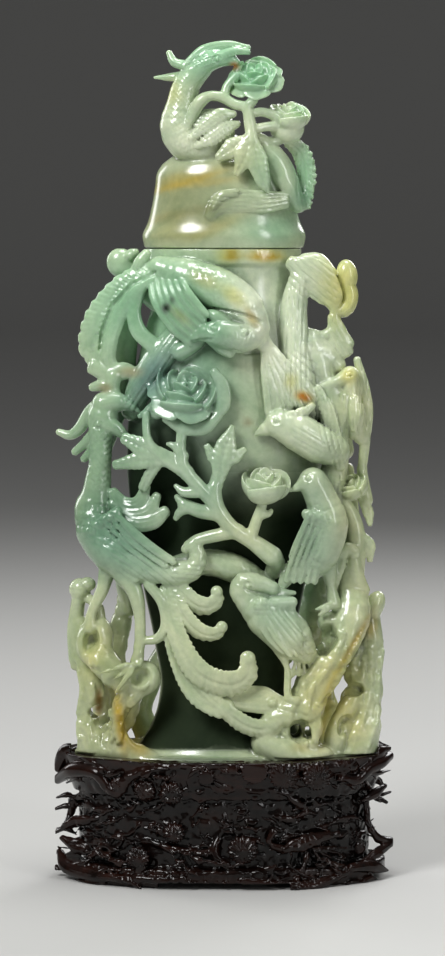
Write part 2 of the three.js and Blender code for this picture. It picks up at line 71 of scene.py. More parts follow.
def at(u, v, d):
    a, b = (u - CX) / FOCAL, (CY - v) / FOCAL
    dy = math.cos(PITCH) + b * math.sin(PITCH)
    dz = -math.sin(PITCH) + b * math.cos(PITCH)
    t = (VIEW_DIST - d * UNIT) / dy
    return np.array([a * t, -d * UNIT, EYE_Z + dz * t])


def drawing_of(p):
    """Drawing units u, v of points in mm."""
    x, y, z = p[:, 0], p[:, 1] + VIEW_DIST, p[:, 2] - EYE_Z
    dep = y * math.cos(PITCH) - z * math.sin(PITCH)
    up = y * math.sin(PITCH) + z * math.cos(PITCH)
    return CX + FOCAL * x / dep, CY - FOCAL * up / dep


def height_of(v):
    return at(CX, v, 0)[2]


# ---- distance fields ----
class Field:
    def __init__(self, lo, hi, step):
        self.lo = np.array(lo, float)
        self.h = step
        self.n = [int(math.ceil((b - a) / step)) + 1 for a, b in zip(lo, hi)]
        self.g = np.full(self.n, FAR, F32)

    def window(self, lo, hi):
        s, c = [], []
        for k in range(3):
            a = max(0, int(math.floor((lo[k] - self.lo[k]) / self.h)))
            b = min(self.n[k], int(math.ceil((hi[k] - self.lo[k]) / self.h)) + 1)
            if b <= a:
                return None
            s.append(slice(a, b))
            c.append((self.lo[k] + self.h * np.arange(a, b)).astype(F32))
        return tuple(s), c[0][:, None, None], c[1][None, :, None], c[2][None, None, :]

    def everywhere(self):
        hi = self.lo + self.h * np.array(self.n)
        return self.window(self.lo, hi)

    def join(self, win, d, k):
        a = self.g[win]
        if k > 0:
            e = np.maximum(k - np.abs(a - d), 0)
            self.g[win] = np.minimum(a, d) - e * e * F32(0.25 / k)
        else:
            self.g[win] = np.minimum(a, d)

    def carve(self, win, d, k):
        a = self.g[win]
        if k > 0:
            e = np.maximum(k - np.abs(a + d), 0)
            self.g[win] = np.maximum(a, -d) + e * e * F32(0.25 / k)
        else:
            self.g[win] = np.maximum(a, -d)

    def value(self, p):
        i = np.round((p - self.lo) / self.h).astype(int)
        ok = np.all((i >= 0) & (i < np.array(self.n)), axis=1)
        out = np.full(len(p), FAR, F32)
        j = i[ok]
        out[ok] = self.g[j[:, 0], j[:, 1], j[:, 2]]
        return out

    def front(self, u, v, side=1):
        """Depth of the first surface met from the front (or the back) at u, v."""
        ds = np.arange(130, -40, -0.5) * side
        b = np.array([at(u, v, 0)]), np.array([at(u, v, 1)])
        p = b[0] + (b[1] - b[0]) * ds[:, None]
        val = self.value(p)
        hit = np.nonzero(val < 0)[0]
        return float(ds[hit[0]]) if len(hit) else None


F = None


def into(field):
    global F
    F = field


def curve(pts, radii, step):
    """Smooth curve through the points with a value carried along."""
    P = np.array([at(*p) for p in pts])
    R = np.array(radii, float) * UNIT
    n = len(P)
    ext = np.vstack([2 * P[0] - P[1], P, 2 * P[-1] - P[-2]])
    out, rad = [], []
    for i in range(n - 1):
        p0, p1, p2, p3 = ext[i], ext[i + 1], ext[i + 2], ext[i + 3]
        m = max(2, int(np.linalg.norm(p2 - p1) / step))
        for t in np.arange(m) / m:
            out.append(0.5 * ((2 * p1) + (-p0 + p2) * t + (2 * p0 - 5 * p1 + 4 * p2 - p3) * t * t + (-p0 + 3 * p1 - 3 * p2 + p3) * t ** 3))
            w = t * t * (3 - 2 * t) * 0.5 + t * 0.5
            rad.append(R[i] + (R[i + 1] - R[i]) * w)
    out.append(P[-1])
    rad.append(R[-1])
    return np.array(out), np.array(rad)


def strand(C, R, k, remove=False):
    """Chain of round segments as one form."""
    pad = 1.2 + k
    rm = R.max()
    win = F.window(C.min(0) - rm - pad, C.max(0) + rm + pad)
    if win is None:
        return
    s, X, Y, Z = win
    d = np.full([q.stop - q.start for q in s], FAR, F32)
    base = np.array([q.start for q in s])
    for i in range(len(C) - 1):
        a, b = C[i], C[i + 1]
        r = max(R[i], R[i + 1]) + pad
        sub = F.window(np.minimum(a, b) - r, np.maximum(a, b) + r)
        if sub is None:
            continue
        q, x, y, z = sub
        loc = tuple(slice(q[j].start - base[j], q[j].stop - base[j]) for j in range(3))
        ba = b - a
        L2 = max(float(ba @ ba), 1e-9)
        px, py, pz = x - F32(a[0]), y - F32(a[1]), z - F32(a[2])
        t = np.clip((px * F32(ba[0]) + py * F32(ba[1]) + pz * F32(ba[2])) * F32(1 / L2), 0, 1)
        dist = np.sqrt((px - t * F32(ba[0])) ** 2 + (py - t * F32(ba[1])) ** 2 + (pz - t * F32(ba[2])) ** 2)
        dist -= F32(R[i]) + t * F32(R[i + 1] - R[i])
        np.minimum(d[loc], dist, out=d[loc])
    (F.carve if remove else F.join)(s, d, k)


def limb(pts, radii, k):
    C, R = curve(pts, radii, max(0.9, 0.35 * max(radii) * UNIT))
    strand(C, R, k * UNIT)


def cut(pts, radii):
    C, R = curve(pts, radii, 1.2)
    strand(C, R, 1.0, True)


def blade(pts, widths, thick, tilt, style, k):
    """Flat strip of lens section. style: 0 plain, 1 barbs, 2 lengthwise lines, 3 leaf."""
    C, W = curve(pts, widths, 0.9)
    T = np.gradient(C, axis=0)
    T /= np.linalg.norm(T, axis=1)[:, None]
    face = np.array([0, 1.0 if pts[0][2] < 0 else -1.0, 0])
    wx = np.cross(T, face)
    wx /= np.maximum(np.linalg.norm(wx, axis=1), 1e-6)[:, None]
    ny = np.cross(wx, T)
    sgn = np.sign((ny @ face).mean()) or 1.0
    ny = ny * sgn
    c, sn = math.cos(math.radians(tilt)), math.sin(math.radians(tilt))
    wx, ny = wx * c + ny * sn, ny * c - wx * sn
    th = thick * UNIT
    S = np.concatenate([[0], np.cumsum(np.linalg.norm(np.diff(C, axis=0), axis=1))])
    total = S[-1]
    pad = 1.0 + k * UNIT
    wm = W.max() + th + 0.5
    win = F.window(C.min(0) - wm - pad, C.max(0) + wm + pad)
    if win is None:
        return
    s, X, Y, Z = win
    d = np.full([q.stop - q.start for q in s], FAR, F32)
    base = np.array([q.start for q in s])
    last = len(C) - 2
    for i in range(len(C) - 1):
        a, b = C[i], C[i + 1]
        e = max(W[i], W[i + 1], 0.3)
        half = np.abs(wx[i]) * e + np.abs(ny[i]) * th + pad
        sub = F.window(np.minimum(a, b) - half, np.maximum(a, b) + half)
        if sub is None:
            continue
        q, x, y, z = sub
        loc = tuple(slice(q[j].start - base[j], q[j].stop - base[j]) for j in range(3))
        ba = b - a
        L = math.sqrt(max(float(ba @ ba), 1e-9))
        tx = ba / L
        px, py, pz = x - F32(a[0]), y - F32(a[1]), z - F32(a[2])
        along = px * F32(tx[0]) + py * F32(tx[1]) + pz * F32(tx[2])
        t = np.clip(along * F32(1 / L), 0, 1)
        over = along - t * F32(L)
        if 0 < i:
            over = np.where(over < 0, over * F32(1.6), over)
        w = np.maximum(F32(W[i]) + t * F32(W[i + 1] - W[i]), F32(0.3))
        if style in (1, 4):
            w = w * (F32(0.90) + F32(0.14) * np.abs(np.sin((F32(S[i]) + t * F32(L)) * F32(math.pi / (2.6 if style == 1 else 4.2)))))
        xx = (px * F32(wx[i][0]) + py * F32(wx[i][1]) + pz * F32(wx[i][2])) / w
        yy = (px * F32(ny[i][0]) + py * F32(ny[i][1]) + pz * F32(ny[i][2])) * F32(1 / th)
        cap = np.maximum(np.minimum(w, F32(1.6)), F32(0.6))
        zz = over / cap
        k0 = np.sqrt(xx * xx + yy * yy + zz * zz)
        k1 = np.sqrt((xx / w) ** 2 + (yy * F32(1 / th)) ** 2 + (zz / cap) ** 2)
        dist = k0 * (k0 - 1) / np.maximum(k1, F32(1e-4))
        along_s = F32(S[i]) + t * F32(L)
        if style in (1, 4):
            dist += F32(0.22) * (F32(0.5) + F32(0.5) * np.cos((along_s - np.abs(xx) * F32(2.2)) * F32(2 * math.pi / 2.0))) * np.minimum(np.abs(xx) * 2, 1)
            dist += F32(0.4) * np.exp(-(xx * F32(7)) ** 2)
        elif style == 2:
            lines = max(2, int(round(float(W.max()) / 0.9)))
            dist += F32(0.2) * (F32(0.5) - F32(0.5) * np.cos(xx * F32(math.pi * lines)))
        elif style == 3:
            dist += F32(0.45) * np.exp(-(xx * F32(5)) ** 2)
            dist += F32(0.16) * (F32(0.5) + F32(0.5) * np.cos((along_s - np.abs(xx) * F32(1.6)) * F32(2 * math.pi / 2.4)))
        np.minimum(d[loc], dist, out=d[loc])
    F.join(s, d, k * UNIT)


def plume(pts, widths, tilt):
    blade(pts, widths, 3.6, tilt, 1, 1.5)
    e, p = pts[-1], pts[-2]
    ball(e[0] + (p[0] - e[0]) * 0.12, e[1] + (p[1] - e[1]) * 0.12, e[2] + 1, widths[-1] * 0.95, widths[-1] * 0.95, 5, 0, 1.5)


def oval_ball(c, axes, half, k, remove=False, ripple=None):
    """Ellipsoid at c (mm) with unit axes (rows) and half sizes (mm)."""
    half = np.array(half, float)
    ext = np.sqrt(((axes * half[:, None]) ** 2).sum(0)) + 1.2 + k
    win = F.window(c - ext, c + ext)
    if win is None:
        return
    s, X, Y, Z = win
    px, py, pz = X - F32(c[0]), Y - F32(c[1]), Z - F32(c[2])
    q = [(px * F32(a[0]) + py * F32(a[1]) + pz * F32(a[2])) * F32(1 / h) for a, h in zip(axes, half)]
    k0 = np.sqrt(q[0] ** 2 + q[1] ** 2 + q[2] ** 2)
    k1 = np.sqrt((q[0] / F32(half[0])) ** 2 + (q[1] / F32(half[1])) ** 2 + (q[2] / F32(half[2])) ** 2)
    d = np.where(k0 < 1e-3, F32(-half.min()), k0 * (k0 - 1) / np.maximum(k1, F32(1e-4)))
    if ripple is not None:
        d = d + ripple(q[0], q[1], q[2])
    (F.carve if remove else F.join)(s, d, k)


def turned(turn):
    a = math.radians(turn)
    # across, depth, up
    return np.array([[math.cos(a), 0, -math.sin(a)], [0, 1, 0], [math.sin(a), 0, math.cos(a)]])


def ball(u, v, d, ru, rv, rd, turn, k):
    oval_ball(at(u, v, d), turned(turn), [ru * UNIT, rd * UNIT, rv * UNIT], k * UNIT)


def pit(u, v, d, ru, rv, rd, turn):
    oval_ball(at(u, v, d), turned(turn), [ru * UNIT, rd * UNIT, rv * UNIT], 1.2, True)


def mix(a, b, t):
    return [a[j] + (b[j] - a[j]) * t for j in range(3)]


def wing(root, wrist, trail, tip, n, bow):
    """Overlapping long feathers from root-wrist to trail-tip, with a soft shoulder."""
    s = -1 if root[2] < 0 else 1
    gap0 = math.dist(root, wrist) / n
    gap1 = math.dist(trail, tip) / n
    for i in range(n):
        f = (i + 0.5) / n
        a, e = mix(root, wrist, f), mix(trail, tip, f)
        m = mix(a, e, 0.55)
        du, dv = e[0] - a[0], e[1] - a[1]
        ln = max(1e-3, math.hypot(du, dv))
        m = [m[0] - dv / ln * bow, m[1] + du / ln * bow, m[2] + 2 * s]
        lift = (n - 1 - i) * 0.9 * s
        a[2] += lift
        m[2] += lift
        e[2] += lift
        blade([a, m, e], [gap0 * 0.62, (gap0 + gap1) * 0.36, gap1 * 0.5], 3.0, 14 * s, 2, 0.5)
    limb([root, mix(root, wrist, 0.5), wrist], [5.5, 6.5, 5.5], 3)


def sweepfan(edge_a, edge_b, n, lines):
    """Feathers lying side by side between two curved edges, each over the next."""
    for i in range(n):
        f = (i + 0.5) / n
        pts = [mix(a, b, f) for a, b in zip(edge_a, edge_b)]
        w = [math.dist(a, b) / n * 0.62 for a, b in zip(edge_a, edge_b)]
        for q in pts:
            q[2] += 0.9 * i
        w[-1] *= 0.8
        blade(pts, w, 3.2, -12, 2 if lines else 0, 0.5)


def fan(base, end_a, end_b, n, w):
    s = -1 if base[2] < 0 else 1
    for i in range(n):
        e = mix(end_a, end_b, 0.5 if n == 1 else i / (n - 1))
        m = mix(base, e, 0.55)
        m[2] += 1.5 * s
        blade([base, m, e], [w * 0.5, w * 0.9, w * 0.75], 3.4, 8, 2, 0.6)


def leaf(base, tip, w, lobes):
    """Leaf with broad, toothed side lobes."""
    s = -1 if base[2] < 0 else 1
    du, dv = tip[0] - base[0], tip[1] - base[1]
    ln = max(1e-3, math.hypot(du, dv))
    nu, nv = -dv / ln, du / ln
    m = mix(base, tip, 0.5)
    m[2] += 3 * s
    blade([base, m, tip], [w * 0.32, w * 0.62, 1.6], 3.4, 0, 3, 1)
    for j in range(lobes):
        f = 0.18 + 0.36 * j / max(1, lobes - 1)
        for side in (-1, 1):
            o = mix(base, tip, f + 0.06 * side)
            o[2] += 2.0 * s
            reach = w * (1.1 - 0.3 * j)
            e = [o[0] + nu * side * reach + du * 0.2, o[1] + nv * side * reach + dv * 0.2, o[2] - 2 * s]
            c = [o[0] + nu * side * reach * 0.55 + du * 0.09, o[1] + nv * side * reach * 0.55 + dv * 0.09, o[2] + 0.5 * s]
            blade([o, c, e], [w * 0.32, w * 0.36, 1.6], 3.2, 0, 3, 1)


def claw(a, b, n):
    s = -1 if a[2] < 0 else 1
    du, dv = b[0] - a[0], b[1] - a[1]
    for i in range(n):
        f = (i - (n - 1) / 2) * 0.34
        e = [a[0] + du - dv * f, a[1] + dv + du * f, b[2]]
        m = mix(a, e, 0.5)
        m[2] += 4 * s
        limb([a, m, e], [4, 3.2, 1.8], 1.5)


def petal(c, out, axis, a, b, t, cup, k):
    """Cupped oval disc: out is the way its length runs, axis the way it faces."""
    axis = axis / np.linalg.norm(axis)
    side = np.cross(axis, out)
    side /= np.linalg.norm(side)
    out = np.cross(side, axis)
    ext = max(a, b) + cup + 1.5
    win = F.window(c - ext, c + ext)
    if win is None:
        return
    s, X, Y, Z = win
    px, py, pz = X - F32(c[0]), Y - F32(c[1]), Z - F32(c[2])
    x = (px * F32(side[0]) + py * F32(side[1]) + pz * F32(side[2])) / F32(a)
    y = (px * F32(out[0]) + py * F32(out[1]) + pz * F32(out[2])) / F32(b)
    rr = x * x + y * y
    z = (px * F32(axis[0]) + py * F32(axis[1]) + pz * F32(axis[2])) - F32(cup) * rr
    rim = np.sqrt(rr)
    ang = np.arctan2(y, x)
    rim = rim * (1 + F32(0.04) * np.cos(5 * ang))
    z = z / F32(t)
    k0 = np.sqrt(rim * rim + z * z)
    k1 = np.sqrt((rim / F32(min(a, b))) ** 2 + (z / F32(t)) ** 2)
    F.join(s, k0 * (k0 - 1) / np.maximum(k1, F32(1e-4)), k)


def blossom(c, axis, r, layers, outer, seed, tall=1.0, k=0.5):
    """Nested cups with raised, scalloped lips; outer petals droop round the largest cup."""
    axis = axis / np.linalg.norm(axis)
    side = np.cross(axis, [0.0, 0.0, 1.0])
    if np.linalg.norm(side) < 0.2:
        side = np.cross(axis, [1.0, 0.0, 0.0])
    side /= np.linalg.norm(side)
    up = np.cross(side, axis)
    rng = np.random.default_rng(seed)
    for i in range(outer):
        a = 2 * math.pi * (i + 0.3) / outer
        o = side * math.cos(a) + up * math.sin(a)
        petal(c + o * r * 0.86 - axis * r * (0.22 + 0.05 * (i % 2)), o, axis * 0.9 + o * 0.30, r * 0.60, r * 0.44, r * 0.10, r * 0.04, 0.4)
    ext = r * 1.2 * tall + 1.5
    win = F.window(c - ext, c + ext)
    if win is None:
        return
    s, X, Y, Z = win
    px, py, pz = X - F32(c[0]), Y - F32(c[1]), Z - F32(c[2])
    x = px * F32(side[0]) + py * F32(side[1]) + pz * F32(side[2])
    y = px * F32(up[0]) + py * F32(up[1]) + pz * F32(up[2])
    z = (px * F32(axis[0]) + py * F32(axis[1]) + pz * F32(axis[2])) / F32(tall)
    rho = np.sqrt(x * x + y * y) + F32(1e-4)
    phi = np.arctan2(y, x)
    d = np.full(rho.shape, FAR, F32)
    for j in range(layers):
        f = j / max(1, layers - 1)
        rj = r * (1.0 - 0.62 * f)
        n = [4, 4, 3, 3][min(j, 3)] if outer else 3
        ph = float(rng.uniform(0, 1)) if j else 0.37
        w = (phi * F32(n / (2 * math.pi)) + F32(ph)) % 1.0
        lap = 1 + F32(0.17) * (w - F32(0.5))
        top = r * (0.26 + 0.22 * f)
        rim = F32(top) + F32((0.22 if outer else 0.16) * r) * (np.sin(w * F32(math.pi)) - F32(0.75))
        low, mid = -0.66 * r, 0.05 * r
        q = np.clip((F32(mid) - z) / F32(mid - low), 0, 1)
        wall = F32(rj) * np.sqrt(np.maximum(1 - q * q, 0)) * lap * (1 - F32(0.10) * np.clip((z - F32(mid)) / F32(r), 0, 1))
        inset = np.clip((wall - rho) / F32(0.17 * r), 0, 1)
        face = rim - F32(0.20 * r) * inset * inset * (3 - 2 * inset)
        e, g = rho - wall, (z - face) * F32(0.8)
        kk = F32(0.07 * r)
        hsm = np.maximum(kk - np.abs(e - g), 0)
        form = np.maximum(np.maximum(e, g) + hsm * hsm * F32(0.25) / kk, F32(low) - z)
        d = np.minimum(d, form * F32(0.8))
    F.join(s, d, k)


def peony(u, v, d, r, lean_u, lean_v):
    s = -1 if d < 0 else 1
    axis = np.array([math.sin(math.radians(lean_u)), -0.74 * s, 0.66 + math.sin(math.radians(lean_v))])
    blossom(at(u, v, d), axis, r * UNIT * 0.76, 3, 6, int(u) * 7 + int(v))


def bud(u, v, d, r, angle):
    s = -1 if d < 0 else 1
    a = math.radians(angle)
    axis = np.array([math.cos(a), -0.40 * s, math.sin(a)])
    blossom(at(u, v, d), axis, r * UNIT * 0.92, 3 if r > 11 else 2, 0, int(u) * 5 + int(v), 1.25)


def scroll(u, v, d, r, way):
    pts, rad = [], []
    for i in range(15):
        t = i / 14
        a = way * (0.6 + t * 2 * math.pi * 1.6)
        q = r * (0.82 - 0.66 * t)
        pts.append([u + q * math.cos(a), v + q * math.sin(a), d + 2 * t])
        rad.append(r * (0.24 - 0.06 * t))
    ball(u, v, d * 0.98 - 1, r * 0.9, r * 0.9, 5, 0, 1)
    limb(pts, rad, 0.6)


def ov(u, a, b, lift):
    k = 1 - ((u - CX) / a) ** 2
    return (b * math.sqrt(k) if k > 0.02 else b * 0.14) + lift - 5


def pine(u, v, d, r):
    """Round spray of needles, facing outward from the oval."""
    c = at(u, v, d)
    nrm = np.array([c[0] / 66.0 ** 2, c[1] / 37.0 ** 2, 0.0])
    nrm /= np.linalg.norm(nrm)
    side = np.cross([0, 0, 1.0], nrm)
    n = 18 if r > 12.5 else 15
    low = at(u, v + r * 0.35, d) - c

    def needles(x, y, z):
        a = np.arctan2(z + F32(0.32), x)
        rr = np.sqrt(x * x + (z + F32(0.32)) ** 2)
        return F32(0.85) * (F32(0.5) + F32(0.5) * np.cos(a * F32(n))) * np.clip(rr * 3, 0, 1) + F32(0.6) * np.exp(-(rr * F32(6)) ** 2)
    oval_ball(c, np.array([side, nrm, [0, 0, 1.0]]), [r * UNIT, 2.4, r * UNIT * 0.95], 0.3, False, needles)


def on_surface(pts, step=2.0, side=1):
    out = []
    for i in range(len(pts) - 1):
        a, b = pts[i], pts[i + 1]
        m = max(1, int(math.hypot(b[0] - a[0], b[1] - a[1]) / step))
        for t in range(m):
            out.append([a[0] + (b[0] - a[0]) * t / m, a[1] + (b[1] - a[1]) * t / m])
    out.append(list(pts[-1]))
    got = []
    for u, v in out:
        d = F.front(u, v, side)
        if d is not None:
            got.append([u, v, d])
    return got


def line(pts, r, depth):
    """Groove drawn on the front surface: r and depth in drawing units."""
    q = on_surface(pts)
    runs, cur = [], []
    for p in q:
        if cur and abs(p[2] - cur[-1][2]) > 5:
            runs.append(cur)
            cur = []
        cur.append(p)
    runs.append(cur)
    for run in runs:
        if len(run) < 2:
            continue
        C = np.array([at(p[0], p[1], p[2] + (r - depth)) for p in run])
        n = len(C)
        taper = np.clip(np.minimum(np.arange(n) + 1, n - np.arange(n)) / 2.0, 0.45, 1)
        strand(C, r * UNIT * taper, 0.25, True)


def arc(u, v, r, a0, a1, n=7):
    return [[u + r * math.cos(math.radians(a0 + (a1 - a0) * i / (n - 1))), v + r * math.sin(math.radians(a0 + (a1 - a0) * i / (n - 1)))] for i in range(n)]


def scales(u0, v0, u1, v1, d, nu, nv):
    for j in range(nv):
        for i in range(nu):
            u = u0 + (u1 - u0) * (i + 0.5 + 0.5 * (j % 2)) / (nu + 0.5)
            v = v0 + (v1 - v0) * (j + 0.5) / nv
            line(arc(u, v, (u1 - u0) / nu * 0.5, 10, 170, 6), 1.3, 1.0)


def eye(u, v, d, r):
    s = F.front(u, v)
    if s is None:
        return
    line(arc(u, v, r * 1.5, 0, 360, 13), 1.1, 0.9)
    ball(u, v, s - r * 0.45, r, r, r, 0, 0.3)


# ---- shallow patterns over oval patches of the front ----
TABLE = np.random.default_rng(11).random((32, 32, 32)).astype(F32)


def noise(p, size):
    """Smooth random value 0..1 at points p, with lumps of the given size (mm)."""
    q = p / size
    i = np.floor(q).astype(int)
    f = (q - i).astype(F32)
    f = f * f * (3 - 2 * f)
    i &= 31
    j = (i + 1) & 31
    out = 0
    for a, wa in ((i[:, 0], 1 - f[:, 0]), (j[:, 0], f[:, 0])):
        for b, wb in ((i[:, 1], 1 - f[:, 1]), (j[:, 1], f[:, 1])):
            for c, wc in ((i[:, 2], 1 - f[:, 2]), (j[:, 2], f[:, 2])):
                out = out + TABLE[a, b, c] * (wa * wb * wc)
    return out


def etch(kind, u0, v0, ru, rv, turn, amp, pitch, dmin=0, dmax=120, bend=0.0, soft=0.32, centre=None):
    """Grooves amp (mm) deep over an oval patch; pitch in drawing units (degrees for rays)."""
    r = max(ru, rv)
    box = np.array([at(u, v, d) for u in (u0 - r, u0 + r) for v in (v0 - r, v0 + r) for d in (dmin, dmax)])
    win = F.window(box.min(0), box.max(0))
    if win is None:
        return
    s, X, Y, Z = win
    sub = F.g[s]
    i, j, k = np.nonzero(np.abs(sub) < 1.8)
    if not len(i):
        return
    p = np.stack([X[i, 0, 0], Y[0, j, 0], Z[0, 0, k]], 1).astype(float)
    u, v = drawing_of(p)
    d = -p[:, 1] / UNIT
    a = math.radians(turn)
    x = (u - u0) * math.cos(a) + (v - v0) * math.sin(a)
    y = -(u - u0) * math.sin(a) + (v - v0) * math.cos(a)
    mask = np.clip((1 - (x / ru) ** 2 - (y / rv) ** 2) * 3, 0, 1)
    mask *= np.clip((d - dmin) / 3, 0, 1) * np.clip((dmax - d) / 3, 0, 1)
    if kind == "lines":
        w = (y + bend * x * x / ru) / pitch
        g = np.exp(-(np.sin(math.pi * w) / soft) ** 2)
    elif kind == "arcs":
        w = np.hypot(u - centre[0], v - centre[1]) / pitch
        g = np.exp(-(np.sin(math.pi * w) / soft) ** 2)
    elif kind == "rays":
        w = np.degrees(np.arctan2(v - centre[1], u - centre[0])) / pitch
        g = np.exp(-(np.sin(math.pi * w) / soft) ** 2)
    elif kind == "scales":
        g = 0
        for par in (0, 1):
            yy = (y / pitch + 0.5 * par) % 1.0 - 0.5
            w = (x / pitch - 0.5 * par + 0.5 * (2 * yy) ** 2)
            g = np.maximum(g, np.exp(-(np.sin(math.pi * w) / soft) ** 2))
    else:
        n1 = noise(p, pitch * UNIT)
        n2 = noise(p + 17.3, pitch * UNIT * 0.45)
        ridge = np.abs(2 * n1 - 1)
        g = 1.1 * (1 - ridge) ** 2 + 0.7 * (n2 - 0.5)
    sub[i, j, k] += (amp * mask * g).astype(F32)


# ---- hollow forms ----
def rows_at(rows, z, k):
    """Row value k (1 half width, 2 half depth) in mm at heights z, smooth between the rows."""
    zs = np.array([height_of(r[0]) for r in rows])
    vs = np.array([r[k] * UNIT for r in rows])
    o = np.argsort(zs)
    zs, vs = zs[o], vs[o]
    m = np.gradient(vs, zs)
    i = np.clip(np.searchsorted(zs, z) - 1, 0, len(zs) - 2)
    hgt = zs[i + 1] - zs[i]
    t = np.clip((z - zs[i]) / hgt, 0, 1)
    lim = 3 * np.abs(np.diff(vs) / np.diff(zs)) + 1e-6
    ma = np.clip(m[i], -lim[i], lim[i])
    mb = np.clip(m[i + 1], -lim[i], lim[i])
    return vs[i] * (2 * t ** 3 - 3 * t ** 2 + 1) + hgt * ma * (t ** 3 - 2 * t ** 2 + t) + vs[i + 1] * (-2 * t ** 3 + 3 * t ** 2) + hgt * mb * (t ** 3 - t ** 2)


def oval_distance(X, Y, Z, a, b):
    """Distance to an upright oval of half sizes a, b given per height."""
    xx, yy = X / a, Y / b
    k0 = np.sqrt(xx * xx + yy * yy)
    k1 = np.sqrt((xx / a) ** 2 + (yy / b) ** 2)
    return np.where(k0 < 0.05, -np.minimum(a, b), k0 * (k0 - 1) / np.maximum(k1, F32(1e-4)))


def slab(X, Y, Z, z0, z1, a, b, soft=0.0):
    d = oval_distance(X, Y, Z, F32(a), F32(b))
    e = np.maximum(F32(z0) - Z, Z - F32(z1))
    if soft:
        d, e = d + F32(soft), e + F32(soft)
        return np.minimum(np.maximum(d, e), 0) + np.sqrt(np.maximum(d, 0) ** 2 + np.maximum(e, 0) ** 2) - F32(soft)
    return np.maximum(d, e)


